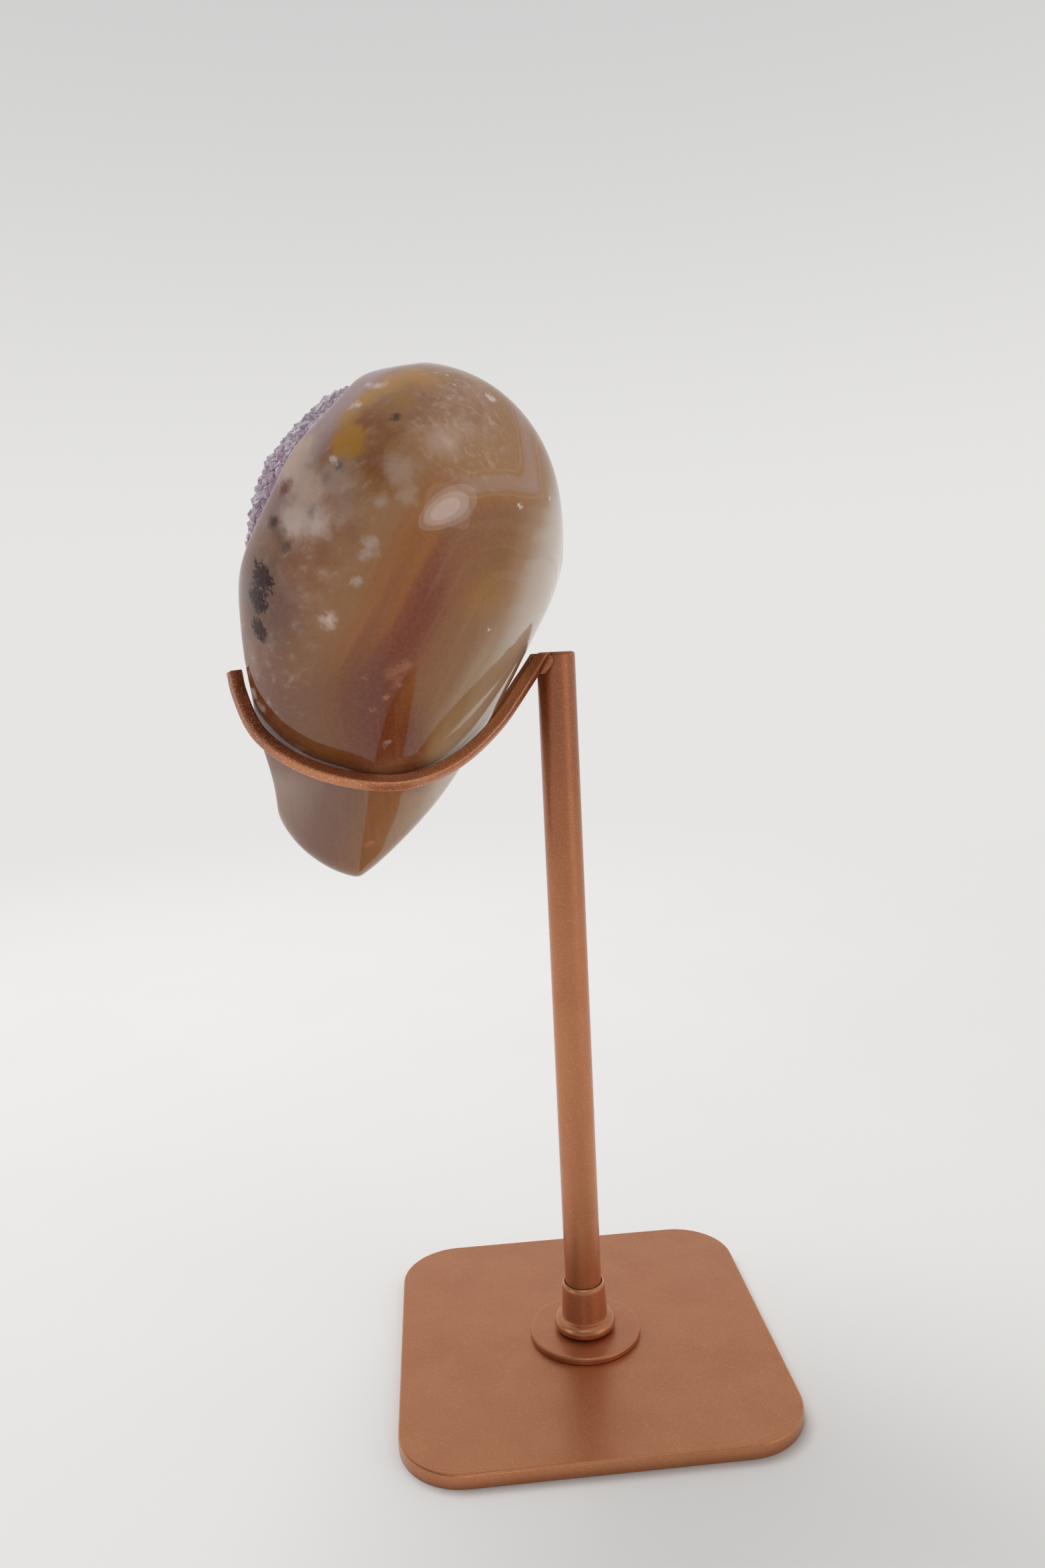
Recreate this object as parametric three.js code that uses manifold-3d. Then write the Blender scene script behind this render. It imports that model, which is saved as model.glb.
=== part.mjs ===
// A puffed agate heart with a quartz druse on its front, on a metal stand: a square foot plate, a round post and a
// cradle of two bent square bars. Millimetres, +Z up. The druse faces -Y. The origin is the middle of the plate's
// underside.
import * as THREE from 'three';
import { mergeVertices } from 'three/addons/utils/BufferGeometryUtils.js';
import Module from 'manifold-3d';

// Foot plate
const PLATE_SIDE = 60;
const PLATE_THICK = 2.2;
const PLATE_CORNER = 10;
const PLATE_BEVEL = 0.35;

// Post and the turned pieces round its foot
const POST_RADIUS = 2.95;
const POST_BEHIND = 0.3;
const POST_TOP = 113.8;
const POST_ROUND = 0.5;
const SLIDE_FIT = 0.15;
const DISC_RADIUS = 9.0;
const DISC_THICK = 1.1;
const DISC_ROUND = 0.4;
const LIP_RADIUS = 5.0;
const LIP_HEIGHT = 2.2;
const SLEEVE_FOOT_RADIUS = 4.0;
const SLEEVE_NECK_RADIUS = 3.45;
const SLEEVE_HEIGHT = 8.0;
const SLEEVE_SHOULDER = 0.4;

// Cradle bars
const BAR_SIDE = 1.8;
const BAR_EDGE = 0.22;
const BAR_END_LOW = 0.2;
const BAR_STATIONS = 30;
const FREE_GAP = 0.3;

// Heart
const HEART_WIDTH = 76;
const HEART_HEIGHT = 73.1;
const HEART_LEAN = 11.6;
const HEART_TIP = new THREE.Vector3(0, -32.1, 80.8);
const LOBE_RADIUS = 19.5;
const TIP_RADIUS = 5;
const CLEFT_RADIUS = 4;
const HEART_MIDDLE = 0.6 * HEART_HEIGHT;
// Depth of the front and back domes, at equal steps of height from the tip to the lobes' tops
const FRONT_DEPTHS = [20.9, 18.8, 21.2, 22.0, 21.5, 19.3, 10.1];
const BACK_DEPTHS = [10.3, 14.7, 17.1, 20.3, 23.5, 25.8, 33.3];
const FRONT_DOME = { fullness: 3.65, edge: 1.68 };
const BACK_DOME = { fullness: 2.53, edge: 1.45 };

// Druse hollow and its crystals. The edge is given at equal steps from the tip round a lobe to the cleft.
const DRUSE_EDGE = [0.8, 0.74, 0.68, 0.6, 0.54, 0.62, 0.78, 0.87, 0.92, 0.9, 0.8];
const HOLLOW_STEP = 2.4;
const HOLLOW_DEEPEST = 4.2;
const HOLLOW_SHALLOWEST = 0.6;
const CRUST_SUNK = 1.5;
const CRUST_SUNK_ON_LOBES = 0.7;
const CRUST_PROUD = 0.9;
const WALL_SLOPE = 0.15;
const CRYSTAL_RINGS = 18;
const ROUND_STEPS = 6 * CRYSTAL_RINGS;
const CRYSTAL_LEAST = 0.7;
const CRYSTAL_MOST = 2.0;
const CRYSTAL_AT_RIM = 0.6;
const CRYSTAL_SEED = 41;

const TAU = 2 * Math.PI;

// Colours and finishes
const COPPER = { color: 0xa5734f, roughness: 0.42, metalness: 0.85 };
const AGATE = { color: 0x8c6955, roughness: 0.12, metalness: 0.0 };
const QUARTZ = { color: 0x9c90a4, roughness: 0.25, metalness: 0.0 };

function finish(settings, flat = false) {
  return new THREE.MeshStandardMaterial({ ...settings, flatShading: flat });
}

function meshOf(name, geometry, material) {
  const mesh = new THREE.Mesh(geometry, material);
  mesh.name = name;
  return mesh;
}

// Repeatable noise: the same numbers every run
function seededRandom(seed) {
  let state = seed;
  return () => {
    state = (state * 1664525 + 1013904223) % 4294967296;
    return state / 4294967296;
  };
}

// A closed body from rings of points, each ring the same length, with a point at either end. The rings run
// counter-clockwise as seen from the first point's side.
function closedSkin(first, rings, last) {
  const points = [first, ...rings.flat(), last];
  const count = rings[0].length;
  const triangles = [];
  const at = (ring, i) => 1 + ring * count + (i % count);
  for (let i = 0; i < count; i += 1) {
    triangles.push(0, at(0, i), at(0, i + 1));
    for (let ring = 0; ring < rings.length - 1; ring += 1) {
      triangles.push(at(ring, i), at(ring + 1, i), at(ring + 1, i + 1));
      triangles.push(at(ring, i), at(ring + 1, i + 1), at(ring, i + 1));
    }
    triangles.push(at(rings.length - 1, i), points.length - 1, at(rings.length - 1, i + 1));
  }
  return indexed(points, triangles);
}

function indexed(points, triangles) {
  const geometry = new THREE.BufferGeometry().setFromPoints(points);
  geometry.setIndex(triangles);
  geometry.computeVertexNormals();
  return geometry;
}

// Foot plate: a rounded square, bevelled all round its top edge
function basePlate() {
  const outline = (inset) => {
    const half = PLATE_SIDE / 2 - inset;
    const radius = PLATE_CORNER - inset;
    const path = new THREE.Path();
    path.absarc(half - radius, -half + radius, radius, -TAU / 4, 0);
    path.absarc(half - radius, half - radius, radius, 0, TAU / 4);
    path.absarc(-half + radius, half - radius, radius, TAU / 4, TAU / 2);
    path.absarc(-half + radius, -half + radius, radius, TAU / 2, TAU * 0.75);
    return path.getPoints(7).filter((p, i, all) => i === 0 || p.distanceTo(all[i - 1]) > 1e-6);
  };
  const level = (inset, z) => outline(inset).map((p) => new THREE.Vector3(p.x, p.y, z));
  const rings = [
    level(PLATE_BEVEL, PLATE_THICK),
    level(PLATE_BEVEL * 0.3, PLATE_THICK - PLATE_BEVEL * 0.3),
    level(0, PLATE_THICK - PLATE_BEVEL),
    level(0, PLATE_BEVEL / 2),
    level(PLATE_BEVEL / 2, 0),
  ];
  const geometry = closedSkin(new THREE.Vector3(0, 0, PLATE_THICK), rings, new THREE.Vector3(0, 0, 0));
  return meshOf('base_plate', geometry, finish(COPPER));
}

// A turned piece: profile points (radius, height) that close on themselves or start and end on the axis
function turned(name, profile, segments) {
  const geometry = withoutNormals(new THREE.LatheGeometry(profile, segments));
  geometry.rotateX(TAU / 4);
  return meshOf(name, geometry, finish(COPPER));
}

function footDisc() {
  const bore = POST_RADIUS + SLIDE_FIT;
  const profile = [
    new THREE.Vector2(bore, 0),
    new THREE.Vector2(DISC_RADIUS - DISC_ROUND / 2, 0),
    new THREE.Vector2(DISC_RADIUS, DISC_ROUND / 2),
    new THREE.Vector2(DISC_RADIUS, DISC_THICK - DISC_ROUND),
    new THREE.Vector2(DISC_RADIUS - DISC_ROUND * 0.3, DISC_THICK - DISC_ROUND * 0.3),
    new THREE.Vector2(DISC_RADIUS - DISC_ROUND, DISC_THICK),
    new THREE.Vector2(bore, DISC_THICK),
    new THREE.Vector2(bore, 0),
  ];
  const disc = turned('foot_disc', profile, 40);
  disc.position.z = PLATE_THICK;
  return disc;
}

// Collar: a rounded lip on the disc, then a sleeve that narrows to a bevelled shoulder
function ferrule() {
  const bore = POST_RADIUS + SLIDE_FIT;
  const profile = [new THREE.Vector2(bore, 0)];
  const lipSteps = 4;
  for (let i = 0; i <= lipSteps; i += 1) {
    const angle = (i / lipSteps - 0.5) * TAU / 2;
    const middle = LIP_RADIUS - LIP_HEIGHT / 2;
    profile.push(new THREE.Vector2(middle + Math.cos(angle) * LIP_HEIGHT / 2, (1 + Math.sin(angle)) * LIP_HEIGHT / 2));
  }
  profile.push(new THREE.Vector2(SLEEVE_FOOT_RADIUS - 0.25, LIP_HEIGHT + 0.12));
  profile.push(new THREE.Vector2(SLEEVE_NECK_RADIUS, SLEEVE_HEIGHT - SLEEVE_SHOULDER));
  profile.push(new THREE.Vector2(bore + 0.25, SLEEVE_HEIGHT));
  profile.push(new THREE.Vector2(bore, SLEEVE_HEIGHT));
  profile.push(new THREE.Vector2(bore, 0));
  const collar = turned('ferrule', profile, 32);
  collar.position.z = PLATE_THICK + DISC_THICK;
  return collar;
}

function post() {
  const length = POST_TOP - PLATE_THICK;
  const profile = [
    new THREE.Vector2(0, 0),
    new THREE.Vector2(POST_RADIUS, 0),
    new THREE.Vector2(POST_RADIUS, length - POST_ROUND),
    new THREE.Vector2(POST_RADIUS - POST_ROUND * 0.3, length - POST_ROUND * 0.3),
    new THREE.Vector2(POST_RADIUS - POST_ROUND, length),
    new THREE.Vector2(0, length),
  ];
  const rod = turned('post', profile, 32);
  rod.position.z = PLATE_THICK;
  return rod;
}

// Middle line of the bar on the +X side, from the post's top down under the heart's flank and up its front
const BAR_LINE = new THREE.CatmullRomCurve3([
  new THREE.Vector3(3.0, -0.9, 115.0),
  new THREE.Vector3(3.5, -4.6, 109.8),
  new THREE.Vector3(5.4, -9.7, 103.4),
  new THREE.Vector3(10.0, -16.4, 98.6),
  new THREE.Vector3(15.2, -23.7, 96.9),
  new THREE.Vector3(17.2, -31.2, 98.0),
  new THREE.Vector3(15.1, -38.4, 100.7),
  new THREE.Vector3(12.5, -43.6, 104.9),
  new THREE.Vector3(10.6, -46.0, 110.4),
  new THREE.Vector3(10.2, -46.5, 113.4),
]);
// Which way the bar's upper face looks at the post, under the heart and at the prong
const BAR_FACE_AT_POST = new THREE.Vector3(0.84, -0.3, 0.45);
const BAR_FACE_UNDER = new THREE.Vector3(0.63, 0.17, 0.76);
const BAR_FACE_AT_PRONG = new THREE.Vector3(0.75, 0.42, 0.52);

function barFace(t) {
  const face = BAR_FACE_UNDER.clone();
  const towardPost = THREE.MathUtils.smoothstep(0.35 - t, 0, 0.3);
  const towardProng = THREE.MathUtils.smoothstep(t, 0.7, 1);
  return face.lerp(BAR_FACE_AT_POST, towardPost).lerp(BAR_FACE_AT_PRONG, towardProng);
}

// One station of the bar: a square with its edges broken, shrunk a little at the very ends
function barSection(t) {
  const middle = BAR_LINE.getPointAt(t);
  const along = BAR_LINE.getTangentAt(t);
  const up = barFace(t).projectOnPlane(along).normalize();
  const across = new THREE.Vector3().crossVectors(along, up);
  const half = BAR_SIDE / 2;
  const flat = half - BAR_EDGE;
  const corners = [
    [half, flat], [flat, half], [-flat, half], [-half, flat],
    [-half, -flat], [-flat, -half], [flat, -half], [half, -flat],
  ];
  const shrink = t === 0 || t === 1 ? 1 - BAR_EDGE / half : 1;
  return corners.map(([a, b]) => middle.clone().addScaledVector(across, a * shrink).addScaledVector(up, b * shrink));
}

function barGeometry() {
  const length = BAR_LINE.getLength();
  const endStep = BAR_EDGE / length;
  const stops = [0, endStep];
  for (let i = 1; i < BAR_STATIONS; i += 1) stops.push(i / BAR_STATIONS);
  stops.push(1 - endStep, 1);
  return closedSkin(BAR_LINE.getPointAt(0), stops.map(barSection), BAR_LINE.getPointAt(1));
}

// A closed geometry as a solid that can be cut, and back
function toSolid(wasm, geometry) {
  const mesh = new wasm.Mesh({
    numProp: 3,
    vertProperties: new Float32Array(geometry.attributes.position.array),
    triVerts: new Uint32Array(geometry.index.array),
  });
  return new wasm.Manifold(mesh);
}

function fromSolid(solid) {
  const mesh = solid.getMesh();
  const geometry = new THREE.BufferGeometry();
  geometry.setAttribute('position', new THREE.BufferAttribute(new Float32Array(mesh.vertProperties), 3));
  geometry.setIndex(new THREE.BufferAttribute(new Uint32Array(mesh.triVerts), 1));
  geometry.computeVertexNormals();
  return geometry;
}

function withoutNormals(geometry) {
  geometry.deleteAttribute('normal');
  geometry.deleteAttribute('uv');
  return mergeVertices(geometry);
}

// The bar's end is coped to the post's round side and cut level with the post's top
function copedBar(wasm) {
  const radius = POST_RADIUS + FREE_GAP;
  const around = withoutNormals(new THREE.CylinderGeometry(radius, radius, POST_TOP, 64));
  around.rotateX(TAU / 4);
  around.translate(0, POST_BEHIND, POST_TOP / 2 + BAR_SIDE);
  const above = withoutNormals(new THREE.BoxGeometry(6 * BAR_SIDE, 6 * BAR_SIDE, 2 * BAR_SIDE));
  above.translate(BAR_LINE.points[0].x, BAR_LINE.points[0].y, POST_TOP - BAR_END_LOW + BAR_SIDE);
  return fromSolid(toSolid(wasm, barGeometry()).subtract(toSolid(wasm, around)).subtract(toSolid(wasm, above)));
}

function mirroredAcrossX(geometry) {
  const mirrored = geometry.clone();
  const position = mirrored.attributes.position;
  for (let i = 0; i < position.count; i += 1) position.setX(i, -position.getX(i));
  const index = mirrored.index.array;
  for (let i = 0; i < index.length; i += 3) [index[i + 1], index[i + 2]] = [index[i + 2], index[i + 1]];
  mirrored.computeVertexNormals();
  return mirrored;
}

// Half of the heart's outline, from its tip up the +X side to the cleft between the lobes
function halfOutline() {
  const lobeX = HEART_WIDTH / 2 - LOBE_RADIUS;
  const lobeZ = HEART_HEIGHT - LOBE_RADIUS;
  const apart = Math.hypot(lobeX, lobeZ - TIP_RADIUS);
  const flank = Math.atan2(lobeX, lobeZ - TIP_RADIUS) + Math.asin((LOBE_RADIUS - TIP_RADIUS) / apart);
  const cleftZ = lobeZ + Math.sqrt((LOBE_RADIUS + CLEFT_RADIUS) ** 2 - lobeX ** 2);
  const meeting = Math.atan2(cleftZ - lobeZ, -lobeX);
  const path = new THREE.Path();
  path.absarc(0, TIP_RADIUS, TIP_RADIUS, -TAU / 4, -flank);
  path.absarc(lobeX, lobeZ, LOBE_RADIUS, -flank, meeting);
  path.absarc(0, cleftZ, CLEFT_RADIUS, meeting - TAU / 2, -TAU / 4, true);
  return path;
}

const HALF_OUTLINE = halfOutline();

// The outline's point at a share of its length round, from the tip and back to it
function outlineAt(share) {
  const turn = share - Math.floor(share);
  const half = turn <= 0.5 ? turn * 2 : 2 - turn * 2;
  const point = HALF_OUTLINE.getPointAt(half);
  return new THREE.Vector2(turn <= 0.5 ? point.x : -point.x, point.y);
}

// A smooth line through equally spaced values
function through(values, share) {
  const last = values.length - 1;
  const padded = [2 * values[0] - values[1], ...values, 2 * values[last] - values[last - 1]];
  const place = THREE.MathUtils.clamp(share, 0, 1) * last;
  const step = Math.min(Math.floor(place), last - 1);
  const f = place - step;
  const [a, b, c, d] = padded.slice(step, step + 4);
  return b + 0.5 * f * (c - a + f * (2 * a - 5 * b + 4 * c - d + f * (3 * (b - c) + d - a)));
}

// The outline shrunk toward the heart's middle: 1 is the edge, 0 the middle
function shrunk(share, size) {
  const edge = outlineAt(share);
  return new THREE.Vector2(edge.x * size, HEART_MIDDLE + (edge.y - HEART_MIDDLE) * size);
}

function domeDepth(dome, depths, size, height) {
  const rise = Math.max(1 - size ** dome.fullness, 0) ** (1 / dome.edge);
  return through(depths, height / HEART_HEIGHT) * rise;
}

function frontDepth(share, size) {
  return domeDepth(FRONT_DOME, FRONT_DEPTHS, size, shrunk(share, size).y);
}

// Where the druse ends, as a share of the way to the outline: wide on the lobes and at the tip, narrow on the
// flanks, and a little uneven all round
function druseEdge(share) {
  const turn = share - Math.floor(share);
  const half = turn <= 0.5 ? turn * 2 : 2 - turn * 2;
  const uneven = 0.012 * Math.sin(TAU * 7 * share + 1.9) + 0.008 * Math.sin(TAU * 12 * share + 0.4);
  return through(DRUSE_EDGE, half) + uneven;
}

// From 0 below the heart's middle to 1 on its lobes
function towardTop(height) {
  return THREE.MathUtils.smoothstep(height, 0.48 * HEART_HEIGHT, 0.7 * HEART_HEIGHT);
}

// How deep the hollow's bowl is at a height: shallow between the lobes' tops, deepest below the middle
function bowlDepth(height) {
  const toTop = THREE.MathUtils.smoothstep(height, 0.25 * HEART_HEIGHT, 0.9 * HEART_HEIGHT);
  return THREE.MathUtils.lerp(HOLLOW_DEEPEST, HOLLOW_SHALLOWEST, toTop);
}

// How far the crust's own skin lies under the polished dome at the druse's edge: it stands proud on the lobes' crowns
function crustSunk(height) {
  const crown = THREE.MathUtils.smoothstep(height, 0.86 * HEART_HEIGHT, 0.96 * HEART_HEIGHT);
  const below = THREE.MathUtils.lerp(CRUST_SUNK, CRUST_SUNK_ON_LOBES, towardTop(height));
  return THREE.MathUtils.lerp(below, -CRUST_PROUD, crown);
}

// A point of the druse, a share of the way from the heart's middle to the druse's edge, sunk under the dome
function drusePoint(share, reach, sunkAt) {
  const size = druseEdge(share) * reach;
  const flat = shrunk(share, size);
  const bowl = bowlDepth(flat.y) * (1 - reach * reach);
  return new THREE.Vector3(flat.x, -(frontDepth(share, size) - sunkAt(flat.y) - bowl), flat.y);
}

// Which way the crust's skin looks at a point, outwards
function druseNormal(share, reach, sunkAt) {
  const step = 0.01;
  const at = Math.max(reach, 2 * step);
  const round = drusePoint(share + step, at, sunkAt).sub(drusePoint(share - step, at, sunkAt));
  const outward = drusePoint(share, at + step, sunkAt).sub(drusePoint(share, at - step, sunkAt));
  return outward.cross(round).normalize();
}

// The reach that lies a distance inside the druse's edge
function reachInside(share, distance) {
  const edge = shrunk(share, druseEdge(share));
  return 1 - distance / Math.hypot(edge.x, edge.y - HEART_MIDDLE);
}

function ringOf(count, pointAt) {
  return Array.from({ length: count }, (unused, i) => pointAt(i / count));
}

const HOLLOW_REACHES = [0.4, 0.75];

function agateHeart() {
  const floor = (reach) => ringOf(ROUND_STEPS, (share) => drusePoint(share, reach, () => HOLLOW_STEP));
  const lip = (out, below) => ringOf(ROUND_STEPS, (share) => {
    const size = druseEdge(share) + out;
    const flat = shrunk(share, size);
    return new THREE.Vector3(flat.x, -(frontDepth(share, size) - below), flat.y);
  });
  const dome = (far) => ringOf(ROUND_STEPS, (share) => {
    const size = THREE.MathUtils.lerp(druseEdge(share), 1, far);
    const flat = shrunk(share, size);
    return new THREE.Vector3(flat.x, -frontDepth(share, size), flat.y);
  });
  const back = (size) => ringOf(ROUND_STEPS, (share) => {
    const flat = shrunk(share, size);
    return new THREE.Vector3(flat.x, domeDepth(BACK_DOME, BACK_DEPTHS, size, flat.y), flat.y);
  });
  const foot = ringOf(ROUND_STEPS, (share) => drusePoint(share, reachInside(share, WALL_SLOPE), () => HOLLOW_STEP));
  const rings = [
    ...HOLLOW_REACHES.map(floor), foot,
    lip(0, 0.7), lip(0.012, 0.12),
    ...[0.2, 0.45, 0.68, 0.86, 0.96].map(dome),
    ...[1, 0.985, 0.95, 0.89, 0.8, 0.68, 0.54, 0.38, 0.2].map(back),
  ];
  const first = drusePoint(0, 0, () => HOLLOW_STEP);
  const backMiddle = domeDepth(BACK_DOME, BACK_DEPTHS, 0, HEART_MIDDLE);
  const geometry = closedSkin(first, rings, new THREE.Vector3(0, backMiddle, HEART_MIDDLE));
  return meshOf('agate_heart', geometry, finish(AGATE));
}

// The six ways from one crystal to its neighbours, on a lattice where every third point is a crystal's tip
const LATTICE_WAYS = [[1, 0], [0, 1], [-1, 1], [-1, 0], [0, -1], [1, -1]];

function isTip(ring, place) {
  if (ring === 0) return true;
  const side = Math.floor(place / ring);
  const step = place % ring;
  const [cornerA, cornerB] = LATTICE_WAYS[side];
  const [wayA, wayB] = LATTICE_WAYS[(side + 2) % 6];
  const a = cornerA * ring + wayA * step;
  const b = cornerB * ring + wayB * step;
  return (((a - b) % 3) + 3) % 3 === 0;
}

// The quartz: six-faced points that grow from one crust, which fills the hollow down to its floor
function druzyCrust() {
  const random = seededRandom(CRYSTAL_SEED);
  const rimReach = (share) => {
    const inCleft = Math.exp(-(((share - 0.5) / 0.04) ** 2));
    return reachInside(share, WALL_SLOPE + FREE_GAP + THREE.MathUtils.lerp(0.15, 0.6, inCleft));
  };
  const tops = [];
  for (let ring = 0; ring <= CRYSTAL_RINGS; ring += 1) {
    for (let place = 0; place < Math.max(1, 6 * ring); place += 1) {
      const inside = ring < CRYSTAL_RINGS;
      const shift = inside && ring > 0 ? (random() - 0.5) * 0.5 : 0;
      const wander = inside && ring > 0 ? (random() - 0.5) * 0.5 : 0;
      const share = ring === 0 ? 0 : (place + wander) / (6 * ring);
      const reach = (ring + shift) / CRYSTAL_RINGS * rimReach(share);
      const point = drusePoint(share, reach, crustSunk);
      const lower = THREE.MathUtils.lerp(1, CRYSTAL_AT_RIM, THREE.MathUtils.smoothstep(reach, 0.6, 1));
      const tall = lower * (CRYSTAL_LEAST + (CRYSTAL_MOST - CRYSTAL_LEAST) * random() ** 2);
      if (inside && isTip(ring, place)) point.addScaledVector(druseNormal(share, reach, crustSunk), tall);
      tops.push(point);
    }
  }
  const firstOf = (ring) => (ring === 0 ? 0 : 1 + 3 * ring * (ring - 1));
  const at = (ring, place) => (ring === 0 ? 0 : firstOf(ring) + (place % (6 * ring)));
  const triangles = [];
  for (let ring = 1; ring <= CRYSTAL_RINGS; ring += 1) {
    for (let side = 0; side < 6; side += 1) {
      for (let step = 0; step < ring; step += 1) {
        const outer = side * ring + step;
        const inner = side * (ring - 1) + step;
        triangles.push(at(ring - 1, inner), at(ring, outer), at(ring, outer + 1));
        if (step < ring - 1) triangles.push(at(ring - 1, inner), at(ring, outer + 1), at(ring - 1, inner + 1));
      }
    }
  }
  const steps = ROUND_STEPS;
  const underside = (height) => HOLLOW_STEP - FREE_GAP * (1 + towardTop(height));
  const bed = (share, reach) => drusePoint(share, reach, underside);
  const under = [
    ringOf(steps, (share) => bed(share, rimReach(share))),
    ...[...HOLLOW_REACHES].reverse().map((reach) => ringOf(steps, (share) => bed(share, reach))),
  ];
  const points = [...tops, ...under.flat(), bed(0, 0)];
  const rimStart = firstOf(CRYSTAL_RINGS);
  const ringStart = (level) => (level < 0 ? rimStart : tops.length + level * steps);
  for (let i = 0; i < steps; i += 1) {
    const next = (i + 1) % steps;
    for (let level = 0; level < under.length; level += 1) {
      const above = ringStart(level - 1);
      const below = ringStart(level);
      triangles.push(above + i, below + i, above + next, above + next, below + i, below + next);
    }
    triangles.push(ringStart(under.length - 1) + i, points.length - 1, ringStart(under.length - 1) + next);
  }
  return meshOf('druzy_crust', indexed(points, triangles), finish(QUARTZ, true));
}

const wasm = await Module();
wasm.setup();

const stand = new THREE.Group();
stand.add(basePlate());
const column = new THREE.Group();
column.add(footDisc(), ferrule(), post());
column.position.y = POST_BEHIND;
stand.add(column);
const bar = copedBar(wasm);
stand.add(meshOf('cradle_arm_right', bar, finish(COPPER)));
stand.add(meshOf('cradle_arm_left', mirroredAcrossX(bar), finish(COPPER)));

const stone = new THREE.Group();
stone.add(agateHeart(), druzyCrust());
stone.rotation.x = -THREE.MathUtils.degToRad(HEART_LEAN);
stone.position.copy(HEART_TIP);

const group = new THREE.Group();
group.add(stand, stone);

export default group;
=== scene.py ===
"""A puffed agate heart with a quartz druse on its front, held by a copper-coloured stand.

The classes hold their sizes in millimetres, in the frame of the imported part: +Z up, the druse towards -Y, the
origin at the middle of the foot plate's underside. Meshes are made in metres.
"""

import logging
import math
import random
from dataclasses import dataclass, field
from enum import Enum
from functools import reduce
from typing import Callable, Sequence, Union

import bmesh
import bpy
import numpy as np
from mathutils import Matrix, Vector, noise


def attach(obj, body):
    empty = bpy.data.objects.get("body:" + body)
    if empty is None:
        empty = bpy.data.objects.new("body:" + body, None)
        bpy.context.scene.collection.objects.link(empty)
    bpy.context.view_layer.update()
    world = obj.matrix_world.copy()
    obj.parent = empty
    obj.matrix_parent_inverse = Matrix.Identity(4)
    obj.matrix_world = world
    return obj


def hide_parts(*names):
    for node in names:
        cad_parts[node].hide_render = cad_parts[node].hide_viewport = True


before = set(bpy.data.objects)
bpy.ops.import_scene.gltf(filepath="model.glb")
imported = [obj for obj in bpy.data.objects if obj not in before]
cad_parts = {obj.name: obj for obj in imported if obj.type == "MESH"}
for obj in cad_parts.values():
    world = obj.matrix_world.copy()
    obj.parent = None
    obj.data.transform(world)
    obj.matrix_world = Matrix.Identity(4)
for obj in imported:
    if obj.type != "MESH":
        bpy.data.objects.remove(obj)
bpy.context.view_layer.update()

log = logging.getLogger("agate_heart")
MM = 0.001
# points closer than this, in metres, are the same
SAME = 1e-6
# what the gloss adds to the stone's colours, how bright the light makes them, and the darkest one
GLOSS = 0.026
LIGHT = 0.7
DARKEST = 0.003

Point = tuple[float, float]
Triple = tuple[float, float, float]
Colour = tuple[float, float, float, float]
Patch = tuple[Triple, float, float]
Bands = tuple[tuple[float, int, int, int], ...]
Value = Union["Expr", float, Sequence[float]]
Piece = bpy.types.Object
Finish = bpy.types.Material


class Slot(Enum):
    """The record's material slots."""

    COPPER = "copper"
    AGATE = "agate"
    QUARTZ = "quartz"


def srgb(red: float, green: float, blue: float) -> Colour:
    """A screen colour as the linear colour that a shader takes.

    Args:
        red: Red on the screen, 0 to 255.
        green: Green on the screen.
        blue: Blue on the screen.

    Returns:
        Linear red, green, blue and an alpha of 1.
    """
    shares = np.array((red, green, blue)) / 255
    linear = np.where(shares <= 0.04045, shares / 12.92, ((shares + 0.055) / 1.055) ** 2.4)
    return (*linear.tolist(), 1.0)


def seen(red: float, green: float, blue: float) -> Colour:
    """The stone's own colour, from how it looks on a screen under its gloss and the studio's light."""
    return (*(max((level - GLOSS) / LIGHT, DARKEST) for level in srgb(red, green, blue)[:3]), 1.0)


def gaps(points: np.ndarray) -> np.ndarray:
    """The distance from each point to the next."""
    return np.linalg.norm(np.diff(points, axis=0), axis=1)


def rows_at(wanted: np.ndarray, known: np.ndarray, rows: np.ndarray) -> np.ndarray:
    """Rows read off at the wanted places, between the rows given at the known ones."""
    return np.stack([np.interp(wanted, known, column) for column in rows.T], axis=1)


def soft_step(value: np.ndarray, low: float, high: float) -> np.ndarray:
    """A soft step, one number in a row: 0 before low and 1 after high, and it falls if high is below low."""
    share = np.clip((value - low) / (high - low), 0, 1)[:, None]
    return share ** 2 * (3 - 2 * share)


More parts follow.
